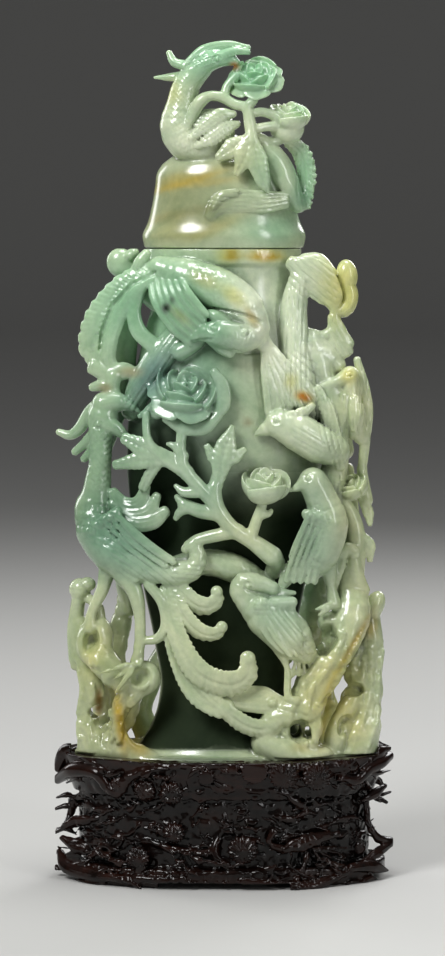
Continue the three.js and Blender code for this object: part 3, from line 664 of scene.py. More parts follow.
def carve_vase():
    # Rock at the left foot, worn through in hollows.
    limb([[84, 758, 20], [104, 750, 28], [128, 752, 38], [152, 760, 42]], [13, 14, 13, 9], 3)
    limb([[92, 748, 24], [88, 716, 22], [92, 690, 24], [86, 656, 20], [80, 624, 16]], [15, 12, 13, 12, 9], 3)
    limb([[146, 758, 42], [124, 742, 42], [117, 722, 42], [124, 702, 44], [142, 682, 50]], [7, 9, 9, 11, 13], 2.5)
    limb([[108, 742, 26], [126, 712, 26], [132, 690, 34]], [13, 13, 13], 3)
    ball(95, 641, 34, 19, 25, 17, 12, 3)
    limb([[98, 654, 38], [112, 672, 44], [124, 682, 48]], [16, 15, 13], 3)
    ball(142, 678, 50, 19, 18, 15, -12, 2.5)
    pit(90, 640, 52, 8, 14, 15, 12)
    pit(140, 677, 68, 12, 9, 15, -20)
    cut([[94, 716, 44], [96, 708, 10]], [6, 5])
    cut([[106, 728, 60], [104, 722, 30]], [5, 7])
    # Bud on its stem beside the rock.
    ball(80, 589, 18, 11, 11, 11, 0, 1)
    ball(88, 584, 20, 8, 7, 8, 20, 0.6)
    limb([[81, 590, 18], [78, 604, 17], [75, 632, 14], [78, 664, 16]], [8, 7, 8, 9], 2)
    limb([[88, 598, 20], [98, 606, 30], [100, 620, 34]], [5, 5, 6], 1.5)
    # Rock at the right foot: trunk with hollows and a perforated front.
    limb([[296, 760, 42], [300, 724, 46], [312, 690, 48], [332, 656, 46], [350, 620, 38], [352, 600, 32]], [24, 21, 19, 20, 20, 17], 3)
    limb([[266, 742, 50], [284, 752, 56], [306, 758, 56], [322, 756, 48]], [15, 15, 14, 13], 3)
    limb([[288, 712, 56], [274, 722, 54], [266, 738, 50]], [14, 14, 12], 3)
    limb([[352, 756, 22], [362, 724, 22], [366, 690, 20], [370, 650, 16], [368, 616, 14]], [25, 20, 16, 14, 12], 3)
    limb([[334, 758, 36], [338, 726, 38], [352, 700, 34], [362, 676, 26]], [14, 11, 11, 11], 3)
    limb([[310, 702, 56], [326, 672, 56], [346, 644, 50], [366, 616, 34]], [5, 6, 6, 5], 2)
    limb([[312, 746, 58], [318, 726, 58], [314, 708, 58]], [6, 6, 6], 2)
    ball(330, 622, 40, 13, 11, 14, 0, 3)
    pit(300, 732, 68, 12, 11, 14, -15)
    cut([[296, 732, 62], [294, 728, 30]], [5.5, 5])
    cut([[309, 733, 62], [308, 730, 30]], [5.5, 5])
    pit(346, 727, 46, 8, 11, 12, 15)
    pit(326, 640, 58, 10, 16, 20, 20)
    pit(354, 690, 36, 9, 6, 10, -10)
    limb([[372, 664, 20], [377, 690, 18], [374, 704, 16]], [8, 7, 5], 2)
    ball(374, 606, 16, 10, 16, 12, 25, 2)
    limb([[350, 624, 20], [354, 650, 20], [356, 676, 22]], [11, 12, 13], 3)
    limb([[340, 742, 26], [350, 720, 24], [352, 696, 24]], [16, 14, 12], 3)
    # Ground between the rocks.
    limb([[120, 758, 20], [180, 757, 40], [224, 758, 46], [280, 758, 44]], [10, 9, 8, 10], 3)
    limb([[110, 750, -18], [170, 744, -42], [224, 742, -48], [290, 744, -42], [340, 750, -16]], [11, 11, 11, 12, 11], 3)
    # Great phoenix, walking to the right along the left side of the vase.
    limb([[103, 416, 36], [101, 440, 36], [100, 465, 36], [97, 490, 34], [94, 512, 32]], [15, 12, 11.5, 14, 19], 2.5)
    limb([[92, 508, 32], [100, 530, 36], [116, 550, 42], [140, 564, 50], [168, 572, 58]], [17, 24, 25, 20, 11], 3)
    limb([[104, 404, 38], [118, 402, 40], [129, 405, 41], [140, 412, 42]], [12, 9.5, 6, 1.6], 2)
    limb([[108, 424, 42], [117, 429, 43], [126, 437, 42]], [9, 7, 4.5], 1.5)
    limb([[112, 404, 36], [112, 390, 34], [104, 385, 32], [93, 387, 30]], [9, 8, 7, 4.5], 2)
    limb([[100, 402, 32], [90, 412, 30], [80, 428, 28], [70, 435, 26], [59, 432, 24]], [6, 6.5, 6, 5, 3.4], 1.5)
    blade([[98, 424, 32], [88, 440, 30], [75, 452, 28]], [4, 5.5, 4], 3.5, 0, 2, 1)
    blade([[101, 428, 34], [95, 446, 32], [84, 459, 30]], [4, 5.5, 4], 3.5, 0, 2, 1)
    eye(98, 424, 49, 3.2)
    wing([117, 512, 60], [88, 532, 52], [177, 560, 70], [132, 581, 62], 6, 3)
    blade([[112, 492, 42], [124, 505, 46], [139, 504, 50], [146, 486, 50]], [6, 9, 9, 5], 4, 10, 2, 1)
    blade([[112, 503, 44], [128, 515, 50], [147, 512, 53], [157, 496, 52]], [6, 9, 9, 5], 4, 10, 2, 1)
    blade([[116, 514, 48], [134, 523, 54], [152, 521, 56], [166, 511, 54]], [6, 9, 9, 6], 4, 10, 2, 1)
    limb([[156, 570, 58], [178, 573, 62], [194, 568, 64], [198, 555, 64], [192, 546, 63], [186, 549, 62]], [13, 13, 11, 9, 7, 5], 2)
    limb([[108, 566, 38], [103, 588, 40], [92, 612, 42], [90, 628, 42]], [9, 6.5, 5, 7], 2)
    limb([[122, 570, 50], [135, 592, 56], [140, 620, 58], [139, 650, 58], [137, 662, 58]], [12, 8, 5.5, 5.5, 8], 2)
    claw([137, 662, 60], [107, 684, 64], 3)
    limb([[148, 584, 60], [162, 602, 62], [166, 624, 62], [158, 638, 60], [142, 641, 58]], [5, 5.5, 5.5, 5, 4], 1.5)
    # Tail plumes with rolled ends.
    plume([[172, 576, 60], [186, 596, 66], [202, 606, 68], [215, 602, 68], [217, 590, 67]], [7, 11, 11, 9, 6], -25)
    plume([[170, 584, 60], [182, 612, 68], [198, 630, 70], [214, 634, 70], [223, 626, 69]], [7, 10, 10, 8, 6], -25)
    plume([[166, 586, 60], [176, 632, 70], [196, 670, 74], [226, 684, 74], [246, 676, 72], [248, 656, 71]], [8, 11, 14, 15, 12, 8], -20)
    plume([[164, 596, 56], [172, 650, 62], [190, 692, 64], [214, 708, 64], [227, 708, 64]], [5, 6, 7, 9, 10], 10)
    plume([[190, 676, 66], [214, 700, 66], [244, 724, 64], [268, 728, 62], [279, 714, 62], [272, 701, 62]], [5, 8, 10, 10, 8, 5], -10)
    blade([[214, 694, 56], [238, 698, 58], [262, 700, 58], [282, 704, 58]], [8, 13, 14, 10], 5, 10, 2, 2)
    # Swell of the ground under the branch.
    limb([[172, 568, 42], [204, 562, 44], [234, 568, 45], [264, 586, 44]], [11, 14, 15, 12], 4)
    # Peony branch across the front.
    limb([[272, 556, 62], [252, 541, 64], [232, 528, 68], [217, 508, 70], [214, 488, 70]], [10, 8, 7.5, 8, 7], 2.5)
    limb([[216, 505, 70], [200, 488, 72], [184, 468, 72], [181, 448, 70], [182, 426, 66]], [7, 7, 6.5, 5, 5.5], 2)
    limb([[188, 472, 72], [172, 464, 70], [156, 452, 68], [147, 436, 64], [146, 414, 60]], [6, 6, 5, 4, 4], 2)
    limb([[214, 490, 70], [219, 470, 68], [224, 452, 66]], [6.5, 6, 5], 2)
    blade([[219, 486, 71], [221, 466, 72], [226, 446, 70], [232, 427, 66]], [4, 10, 11, 3], 3.6, 0, 3, 1)
    blade([[220, 468, 72], [213, 457, 70], [207, 446, 68]], [5, 6.5, 3.5], 3.4, 0, 3, 1)
    blade([[223, 464, 72], [235, 457, 70], [244, 450, 66]], [5, 7, 3.5], 3.4, 0, 3, 1)
    blade([[196, 484, 72], [176, 464, 71], [158, 455, 68]], [6, 8, 9], 4, 0, 3, 1)
    blade([[164, 458, 69], [142, 447, 65], [124, 438, 60]], [8, 10, 6], 3.8, 0, 3, 1)
    blade([[164, 460, 69], [138, 461, 64], [115, 465, 58]], [7, 9, 5], 3.8, 0, 3, 1)
    blade([[160, 462, 68], [150, 474, 62], [143, 488, 56]], [5, 6, 5.5], 3.8, 0, 3, 1)
    limb([[216, 514, 70], [200, 511, 68], [184, 505, 65]], [7, 7, 6.5], 2)
    limb([[188, 507, 66], [181, 501, 64], [177, 497, 62]], [5.5, 4.5, 3], 1.5)
    limb([[188, 508, 66], [180, 512, 64], [176, 518, 62]], [5.5, 4.5, 3], 1.5)
    limb([[196, 492, 72], [184, 492, 70], [176, 486, 68]], [6, 5, 2.5], 1.5)
    limb([[184, 456, 71], [174, 446, 70], [168, 444, 69]], [5, 4, 2.2], 1.5)
    limb([[238, 531, 67], [218, 535, 66], [198, 540, 64], [190, 546, 62]], [7, 6.5, 6, 6], 2)
    limb([[250, 540, 66], [256, 522, 66], [262, 506, 66]], [6, 5.5, 5], 2)
    limb([[258, 516, 66], [268, 514, 66], [271, 511, 66]], [4.5, 3.5, 2.5], 1.5)
    limb([[272, 556, 62], [276, 562, 54], [274, 570, 46]], [9, 9, 9], 2)
    bud(265, 484, 66, 26, 90)
    peony(186, 388, 60, 40, 4, 6)
    blade([[214, 372, 66], [222, 386, 68], [222, 404, 68], [214, 420, 66]], [5, 8, 9, 4], 4, -20, 0, 1.5)
    blade([[166, 418, 68], [184, 428, 70], [204, 428, 70], [218, 416, 68]], [5, 7, 7, 5], 4, 0, 0, 1.5)
    blade([[172, 404, 58], [156, 410, 56], [140, 416, 52]], [8, 10, 3], 4, 0, 3, 1)
    limb([[180, 352, 52], [196, 342, 54], [204, 330, 54]], [9, 8, 8], 2)
    # Bird at the upper left: body, turned head, near wing, spread far wing and tail.
    limb([[160, 268, 42], [190, 278, 50], [220, 290, 56], [244, 308, 58], [254, 328, 58]], [12, 19, 21, 20, 16], 3)
    limb([[252, 334, 60], [240, 337, 66], [222, 334, 69], [207, 332, 67]], [15, 16, 15, 10], 2)
    limb([[208, 332, 66], [198, 336, 65], [188, 342, 63]], [9, 5.5, 1.8], 2)
    limb([[214, 340, 68], [222, 349, 68], [230, 353, 67]], [7, 5.5, 5], 1.5)
    limb([[226, 322, 70], [216, 316, 70], [209, 314, 68], [205, 317, 66]], [6, 6, 4.5, 3], 1.5)
    eye(213, 328, 80, 2.6)
    eye(245, 332, 80, 3.4)
    sweepfan([[147, 262, 38], [151, 300, 54], [168, 328, 58], [188, 347, 60]], [[176, 260, 40], [187, 284, 66], [198, 300, 70], [209, 312, 70]], 6, 1)
    blade([[156, 270, 44], [124, 286, 40], [100, 316, 32], [92, 344, 28], [97, 364, 28]], [10, 13, 15, 15, 9], 5, -14, 4, 1.5)
    blade([[152, 276, 48], [130, 298, 44], [114, 328, 38], [108, 354, 34], [112, 368, 33]], [6, 8, 8, 8, 7], 4.5, -6, 2, 1.5)
    blade([[140, 288, 44], [134, 310, 44], [138, 330, 44], [152, 344, 44], [160, 347, 44]], [7, 7, 8, 8, 2], 4.5, 0, 0, 1.5)
    blade([[92, 366, 30], [108, 373, 33], [124, 371, 35], [136, 372, 34]], [8, 9, 9, 5], 5, 0, 0, 1.5)
    limb([[114, 376, 34], [112, 384, 34]], [8, 8], 1.5)
    limb([[186, 330, 38], [164, 354, 38], [142, 386, 34], [132, 410, 26]], [15, 16, 14, 11], 3)
    fan([264, 338, 57], [270, 412, 60], [313, 400, 50], 5, 8)
    limb([[254, 328, 57], [264, 344, 55]], [12, 8], 3)
    # Bud and curl behind the bird.
    ball(121, 263, 20, 14, 15, 10, -30, 1)
    ball(131, 255, 24, 9, 6, 8, -35, 1)
    limb([[124, 264, 19], [140, 286, 24], [158, 300, 26]], [9, 10, 12], 3)
    limb([[134, 276, 36], [140, 262, 40], [146, 254, 40]], [6, 6, 5], 1.5)
    # Tree on the right shoulder with a draped leaf, a bud and a hanging leaf.
    limb([[304, 412, 36], [299, 380, 38], [295, 340, 36], [294, 306, 34], [301, 278, 34]], [20, 19, 15, 13, 12], 3)
    limb([[322, 392, 30], [318, 366, 31], [311, 344, 33]], [17, 17, 12], 2.5)
    limb([[312, 342, 32], [326, 354, 31], [337, 365, 30]], [10, 12, 9], 2.5)
    limb([[310, 334, 33], [322, 336, 31], [333, 331, 31]], [6, 5.5, 6], 2)
    blade([[290, 262, 38], [304, 270, 41], [318, 281, 40], [330, 296, 36], [335, 306, 32]], [7, 17, 20, 14, 7], 4.5, -10, 2, 1.5)
    limb([[306, 262, 30], [318, 262, 30], [328, 274, 30]], [9, 9, 9], 2)
    ball(347, 275, 26, 10.5, 15.5, 10, -8, 1.5)
    limb([[347, 284, 26], [350, 296, 26], [347, 307, 27], [340, 311, 28], [329, 302, 32]], [8, 8.5, 8, 6.5, 6.5], 1.2)
    limb([[331, 300, 30], [335, 318, 30], [335, 332, 30]], [6, 5.5, 7], 2)
    cut([[320, 316, 70], [319, 316, -30]], [10.5, 11])
    blade([[333, 316, 32], [337, 332, 33], [342, 346, 32], [346, 354, 30]], [6, 10, 13, 9], 4.5, 0, 2, 1.5)
    # Long-billed bird on the right edge.
    limb([[314, 388, 48], [330, 384, 46], [344, 378, 42], [350, 375, 40]], [2, 4, 7.5, 9], 1.5)
    limb([[350, 377, 38], [350, 396, 36], [352, 414, 36], [352, 432, 32]], [9, 11, 13, 7], 2)
    blade([[345, 396, 46], [343, 410, 47], [343, 424, 46]], [5, 7, 3], 3.5, 0, 2, 1)
    blade([[354, 398, 46], [355, 414, 48], [354, 430, 44]], [6, 8, 3], 3.5, 0, 2, 1)
    blade([[357, 360, 28], [363, 384, 28], [367, 410, 26], [365, 440, 26], [362, 470, 26]], [4, 6.5, 7, 6, 5], 4.5, 20, 2, 1.5)
    limb([[336, 392, 40], [340, 402, 38], [350, 420, 34], [360, 436, 28]], [8, 10, 11, 8], 3)
    eye(349, 374, 49, 2)
    # Trunk behind the small birds.
    limb([[328, 388, 38], [334, 420, 40], [337, 450, 38], [332, 480, 36], [328, 500, 36]], [12, 12, 12, 14, 14], 3)
    blade([[318, 388, 52], [326, 410, 52], [334, 440, 50], [338, 468, 48]], [4, 9, 10, 8], 4, -20, 2, 1.5)
    # Small bird above, facing left.
    limb([[280, 424, 60], [298, 432, 58], [318, 444, 54], [334, 450, 46]], [15, 19, 19, 16], 2.5)
    limb([[270, 427, 60], [262, 431, 60], [255, 435, 59]], [9, 5, 1.4], 1.5)
    blade([[286, 416, 66], [300, 414, 64], [312, 406, 58]], [5, 7, 4], 4, -20, 2, 1)
    blade([[288, 430, 72], [306, 440, 70], [326, 452, 62]], [5, 9, 4], 3.5, -15, 2, 1)
    eye(276, 420, 74, 2.4)
    # Small bird perched below it, facing left.
    limb([[313, 482, 64], [322, 500, 60], [327, 524, 58], [321, 550, 56], [310, 572, 54]], [14.5, 16, 21, 20, 11], 2.5)
    limb([[306, 483, 66], [298, 487, 66], [290, 491, 65]], [8, 4.5, 1.4], 1.5)
    wing([307, 514, 74], [333, 522, 72], [283, 580, 62], [318, 582, 64], 5, 2)
    eye(308, 478, 77, 2.4)
    limb([[328, 566, 50], [331, 586, 48], [334, 604, 48]], [9, 5, 7], 2)
    claw([334, 604, 50], [318, 612, 56], 2)
    blade([[300, 556, 58], [288, 576, 58], [282, 586, 58]], [9, 8, 5], 4, 0, 2, 1.5)
    # Duck-like bird below, head turned back.
    limb([[250, 602, 64], [241, 591, 66], [243, 582, 68], [256, 582, 70], [272, 588, 70]], [13, 11.5, 10, 9, 7], 2)
    limb([[270, 587, 67], [282, 592, 65], [294, 593, 62]], [6, 4, 2.4], 1.5)
    ball(276, 598, 60, 15, 10, 12, 20, 3)
    limb([[252, 602, 62], [268, 616, 64], [290, 636, 62], [306, 654, 58]], [15, 22, 22, 12], 3)
    wing([259, 606, 80], [292, 602, 72], [288, 656, 78], [316, 652, 66], 5, 3)
    wing([252, 612, 76], [262, 602, 80], [280, 652, 76], [290, 656, 78], 2, 2)
    fan([300, 644, 62], [292, 675, 60], [312, 672, 56], 4, 4.5)
    limb([[280, 648, 62], [287, 668, 62], [288, 698, 62]], [7, 4.5, 5], 2)
    claw([288, 698, 62], [304, 702, 62], 2)
    eye(248, 586, 78, 2.4)
    limb([[292, 700, 52], [300, 690, 48], [306, 676, 46]], [10, 9, 9], 2.5)
    # Flowering branch down the right edge.
    limb([[344, 502, 36], [352, 516, 32], [356, 540, 30], [352, 566, 30], [350, 590, 30], [356, 610, 26]], [6, 8, 10, 13, 14, 13], 2.5)
    bud(352, 486, 34, 18, 120)
    bud(338, 478, 42, 9, 160)
    limb([[362, 470, 26], [364, 486, 26], [366, 500, 26]], [5, 6, 7], 2)
    blade([[362, 498, 28], [368, 512, 26], [370, 524, 26]], [5, 6, 3], 4, 0, 3, 1)
    blade([[360, 534, 34], [368, 546, 30], [370, 560, 28]], [5, 8, 3], 4, 0, 3, 1)
    blade([[346, 548, 42], [338, 566, 44], [334, 588, 44]], [4, 8, 4], 4, 0, 3, 1)
    limb([[354, 560, 40], [358, 578, 38], [364, 590, 34]], [6, 7, 6], 2)
    limb([[342, 552, 42], [348, 548, 42], [354, 552, 42]], [6, 6, 6], 2)
    # Plain back: a branch with two peonies and leaves, plumes and low rockwork.
    limb([[150, 676, -44], [176, 636, -52], [196, 590, -60], [214, 530, -66], [240, 470, -68], [250, 410, -64], [240, 350, -56]], [13, 10, 9, 8, 7.5, 7, 6], 2.5)
    limb([[208, 548, -66], [186, 520, -62], [166, 480, -54], [160, 440, -48]], [6.5, 6, 5.5, 5], 2)
    limb([[238, 478, -68], [262, 456, -64], [284, 420, -52]], [6, 5.5, 5], 2)
    peony(228, 330, -52, 30, 0, 0)
    peony(160, 430, -48, 27, 0, 0)
    peony(288, 410, -48, 24, 0, 0)
    leaf([214, 530, -68], [268, 520, -56], 11, 2)
    leaf([196, 590, -62], [246, 606, -52], 11, 2)
    leaf([186, 520, -62], [140, 540, -40], 10, 2)
    leaf([250, 410, -64], [210, 390, -60], 10, 2)
    leaf([262, 456, -64], [306, 480, -42], 10, 2)
    limb([[326, 500, -30], [322, 560, -34], [312, 620, -40], [316, 684, -42], [330, 740, -34]], [12, 13, 15, 18, 20], 3)
    limb([[300, 742, -44], [270, 716, -46], [262, 684, -44], [288, 650, -42]], [15, 13, 11, 11], 3)
    limb([[110, 744, -24], [104, 698, -26], [116, 650, -26], [126, 600, -24]], [17, 15, 13, 10], 3)
    limb([[150, 740, -44], [140, 710, -44], [150, 680, -44]], [14, 13, 12], 3)
    pit(290, 700, -62, 13, 20, 14, 0)
    pit(112, 690, -44, 8, 15, 10, 10)
    limb([[98, 470, -4], [110, 520, -8], [124, 570, -14], [128, 610, -18]], [8, 10, 11, 9], 3)
    limb([[130, 300, 4], [126, 350, 2], [120, 400, 0], [104, 450, 6], [98, 480, 12]], [10, 11, 10, 8, 8], 3)
    limb([[346, 470, 6], [350, 520, 2], [352, 570, 0], [356, 620, 0]], [8, 10, 11, 12], 3)
    limb([[316, 352, 6], [326, 380, 0], [336, 412, 0], [344, 450, 4]], [11, 12, 11, 10], 3)


def carve_cover():
    # Phoenix of the finial: tail end, breast, neck, head, crest.
    limb([[226, 150, 16], [204, 144, 22], [186, 140, 22], [179, 126, 22], [182, 104, 22], [187, 84, 22], [200, 68, 24]], [18, 20, 20, 19, 15, 13.5, 12], 2.5)
    limb([[196, 70, 24], [210, 60, 28], [226, 58, 30], [236, 62, 32]], [11, 11, 8, 4], 2)
    limb([[196, 66, 26], [184, 65, 24], [174, 62, 22], [169, 53, 20]], [5, 5, 4.5, 3], 1.5)
    limb([[192, 74, 22], [174, 77, 18], [155, 77.5, 14]], [6, 4.5, 1.6], 1.5)
    blade([[184, 66, 28], [204, 52, 30], [226, 46, 30], [247, 48, 30]], [4, 7.5, 6, 4], 4, 0, 2, 1)
    blade([[190, 70, 32], [212, 59, 36], [234, 51, 36], [248, 52, 34]], [3, 5, 5, 3], 3, 20, 2, 1)
    limb([[184, 132, 36], [193, 114, 36], [200, 102, 37], [210, 96, 38], [224, 97, 38]], [5, 6, 6.5, 5, 5], 1.5)
    ball(210, 131, 26, 25, 22, 17, -10, 2)
    blade([[192, 138, 42], [206, 126, 46], [220, 116, 46], [233, 114, 42]], [4, 8, 8, 4], 3.5, 0, 2, 1)
    blade([[198, 146, 42], [212, 138, 46], [226, 128, 45], [237, 124, 40]], [4, 8, 8, 4], 3.5, 0, 2, 1)
    eye(217, 59, 37, 2.2)
    # Branch that carries the finial's flowers.
    limb([[222, 97, 38], [234, 104, 40], [246, 108, 42], [250, 124, 44], [252, 142, 48]], [5, 5, 5, 6, 6], 2)
    limb([[224, 98, 38], [227, 86, 36], [236, 76, 34]], [4.5, 4.2, 4.5], 1.5)
    limb([[246, 108, 42], [254, 98, 40], [256, 84, 34]], [5, 5, 5], 1.5)
    limb([[248, 114, 42], [262, 112, 38], [276, 116, 34]], [4.5, 4.5, 5], 1.5)
    limb([[252, 130, 44], [264, 127, 40], [276, 126, 34]], [5, 4.5, 5], 1.5)
    limb([[258, 138, 36], [270, 142, 30], [284, 138, 26]], [6, 5, 5], 1.5)
    peony(255, 75, 30, 30, -6, 10)
    ball(287, 128, 25, 17, 16, 15, 0, 1.5)
    bud(289, 115, 26, 22, 82)
    # Leaf hanging from the branch over the dome.
    blade([[250, 134, 48], [246, 154, 51], [237, 173, 51]], [5, 13, 4], 3.8, 0, 3, 1)
    blade([[248, 138, 47], [233, 148, 48], [219, 157, 47]], [5, 11, 5], 3.8, 0, 3, 1)
    blade([[252, 136, 49], [257, 160, 52], [263, 180, 50], [268, 192, 46]], [5, 11, 8, 2], 3.8, 0, 3, 1)
    # Tail: one plume stands clear at the right, one lies across the dome.
    blade([[288, 140, 22], [302, 154, 17], [306, 178, 15], [301, 206, 18]], [7, 10, 11, 11], 4.5, -20, 1, 1)
    limb([[282, 178, 30], [292, 192, 26], [298, 204, 20]], [9, 9, 9], 2)
    blade([[286, 200, 33], [262, 202, 42], [238, 201, 46], [220, 204, 47], [210, 217, 47]], [9, 12, 12, 11, 6], 3.8, 0, 2, 1)
    blade([[236, 192, 50], [222, 196, 51], [213, 208, 50]], [4, 5, 3], 3, 0, 2, 1)
    limb([[262, 150, 26], [276, 164, 26], [286, 182, 24], [290, 198, 20]], [14, 14, 13, 10], 3)
    # Plain spray of leaves on the back of the dome.
    limb([[215, 150, -22], [226, 170, -40], [240, 190, -46]], [6, 5, 4], 2)
    blade([[226, 170, -40], [206, 180, -44], [190, 196, -42]], [3, 9, 3], 3.5, 0, 3, 1)
    blade([[232, 178, -43], [252, 184, -44], [270, 200, -38]], [3, 9, 3], 3.5, 0, 3, 1)
    peony(236, 196, -43, 14, 0, 0)


def carve_stand():
    # Rim of the stand: scrolling cloud, leaf ends and pine sprays.
    limb([[58, 779, ov(58, 168, 96, 0)], [74, 770, ov(74, 168, 96, 0)], [96, 773, ov(96, 168, 96, 0)], [108, 788, ov(108, 166, 94, 0)], [120, 793, ov(120, 164, 92, 0)], [128, 778, ov(128, 166, 94, 0)], [150, 769, ov(150, 166, 94, 0)]], [5, 8, 7, 6, 5, 6, 5], 2)
    blade([[82, 746, ov(82, 160, 90, -4)], [66, 752, ov(66, 164, 94, 0)], [58, 768, ov(58, 168, 96, 0)]], [3, 8, 6], 5, -20, 2, 1)
    blade([[112, 770, ov(112, 160, 90, 2)], [94, 760, ov(94, 164, 94, 2)], [76, 752, ov(76, 168, 96, 2)]], [8, 7, 3], 4, -20, 2, 1)
    limb([[150, 768, ov(150, 166, 94, 0)], [190, 765, ov(190, 166, 94, 0)], [230, 766, ov(230, 166, 94, 0)], [270, 768, ov(270, 166, 94, 0)], [320, 768, ov(320, 166, 94, 0)], [352, 766, ov(352, 166, 94, 0)]], [4, 5, 5, 6, 6, 6], 2)
    pine(254, 771, ov(254, 166, 94, 4), 14)
    pine(284, 775, ov(284, 166, 94, 4), 15)
    pine(317, 776, ov(317, 166, 94, 4), 15)
    scroll(343, 765, ov(343, 168, 96, 3), 9, 1)
    limb([[340, 776, ov(340, 166, 94, 0)], [356, 780, ov(356, 166, 94, 0)], [368, 768, ov(368, 166, 94, 0)], [380, 762, ov(380, 168, 96, 0)], [389, 756, ov(389, 168, 96, 0)]], [5, 6, 7, 7, 5], 2)
    blade([[370, 760, ov(370, 166, 94, 2)], [380, 752, ov(380, 168, 96, 2)], [388, 748, ov(388, 168, 96, 2)]], [4, 6, 3], 4, -20, 2, 1)
    pine(145, 790, ov(145, 156, 88, 6), 12)
    pine(171, 793, ov(171, 156, 88, 6), 13)
    limb([[184, 788, ov(184, 152, 86, 4)], [200, 792, ov(200, 152, 86, 4)], [212, 786, ov(212, 152, 86, 4)], [228, 791, ov(228, 152, 86, 4)], [240, 788, ov(240, 152, 86, 4)], [256, 792, ov(256, 152, 86, 4)], [272, 790, ov(272, 152, 86, 4)], [290, 794, ov(290, 152, 86, 4)], [302, 782, ov(302, 156, 88, 4)]], [3, 3, 3, 3, 3, 3, 3, 3, 3], 2)
    # Waist: pine trunk and branches, two cranes, scrolls and leaves.
    limb([[218, 794, ov(218, 148, 82, 2)], [222, 812, ov(222, 146, 80, 2)], [220, 833, ov(220, 146, 80, 2)], [214, 852, ov(214, 150, 84, 2)], [226, 866, ov(226, 154, 88, 2)], [244, 880, ov(244, 158, 92, 0)]], [4, 4.5, 5, 6, 5, 5], 2)
    limb([[122, 836, ov(122, 146, 80, 2)], [150, 842, ov(150, 146, 80, 4)], [178, 850, ov(178, 148, 82, 4)], [206, 854, ov(206, 150, 84, 3)]], [3, 4, 4.5, 5], 2)
    limb([[158, 814, ov(158, 144, 78, 2)], [178, 822, ov(178, 144, 78, 2)]], [3, 3], 2)
    pine(174, 833, ov(174, 146, 80, 4), 11)
    pine(138, 858, ov(138, 154, 88, 4), 12)
    pine(243, 850, ov(243, 150, 84, 5), 15)
    limb([[274, 832, ov(274, 150, 84, 6)], [269, 842, ov(269, 150, 84, 6)], [282, 849, ov(282, 150, 84, 6)], [300, 846, ov(300, 150, 84, 6)]], [4.5, 3.5, 5, 7], 1.5)
    blade([[284, 850, ov(284, 152, 86, 8)], [306, 842, ov(306, 152, 86, 8)], [338, 834, ov(338, 152, 86, 6)]], [5, 9, 4], 4, 0, 2, 1)
    fan([312, 848, ov(312, 152, 86, 6)], [322, 862, ov(322, 154, 88, 6)], [346, 848, ov(346, 154, 88, 4)], 4, 4)
    limb([[308, 854, ov(308, 152, 86, 5)], [303, 868, ov(303, 156, 90, 5)], [295, 884, ov(295, 160, 94, 4)]], [4, 3.2, 3], 1.5)
    limb([[288, 796, ov(288, 150, 84, 4)], [296, 802, ov(296, 150, 84, 5)], [306, 808, ov(306, 148, 82, 4)]], [4, 5, 4], 1.5)
    blade([[294, 810, ov(294, 148, 82, 4)], [320, 804, ov(320, 148, 82, 4)], [348, 799, ov(348, 148, 82, 2)]], [3, 5, 2], 3.5, 0, 2, 1)
    blade([[292, 818, ov(292, 146, 80, 4)], [306, 816, ov(306, 146, 80, 4)], [316, 814, ov(316, 146, 80, 3)]], [3, 5, 2], 3.5, 0, 2, 1)
    blade([[324, 826, ov(324, 148, 82, 3)], [338, 821, ov(338, 148, 82, 3)], [354, 822, ov(354, 148, 82, 2)]], [3, 4, 2], 3.5, 0, 2, 1)
    scroll(358, 848, ov(358, 150, 84, 3), 10, -1)
    limb([[366, 800, ov(366, 154, 86, 0)], [368, 822, ov(368, 156, 88, 0)], [378, 838, ov(378, 162, 92, 0)], [392, 842, ov(392, 168, 96, 0)]], [4, 4, 5, 5], 2)
    blade([[392, 842, ov(390, 168, 96, 0)], [378, 852, ov(378, 166, 94, 2)], [364, 862, ov(364, 162, 92, 2)]], [4, 6, 4], 4, 0, 2, 1)
    blade([[384, 786, ov(384, 162, 92, 0)], [374, 794, ov(374, 160, 90, 0)], [362, 800, ov(362, 156, 88, 0)]], [3, 6, 3], 4, 0, 2, 1)
    limb([[74, 800, ov(74, 152, 84, 0)], [70, 816, ov(70, 156, 88, 0)], [64, 828, ov(64, 164, 92, 0)]], [6, 4, 3], 2)
    blade([[57, 831, ov(57, 168, 96, 0)], [76, 822, ov(76, 156, 88, 2)], [100, 818, ov(100, 146, 80, 1)]], [2, 8, 4], 4.5, -15, 2, 1)
    blade([[63, 838, ov(63, 168, 96, 0)], [78, 846, ov(78, 158, 88, 2)], [94, 852, ov(94, 148, 82, 0)]], [4, 9, 5], 4.5, 10, 2, 1)
    fan([88, 842, ov(88, 150, 84, 2)], [118, 850, ov(118, 150, 84, 4)], [116, 862, ov(116, 156, 90, 4)], 2, 4.5)
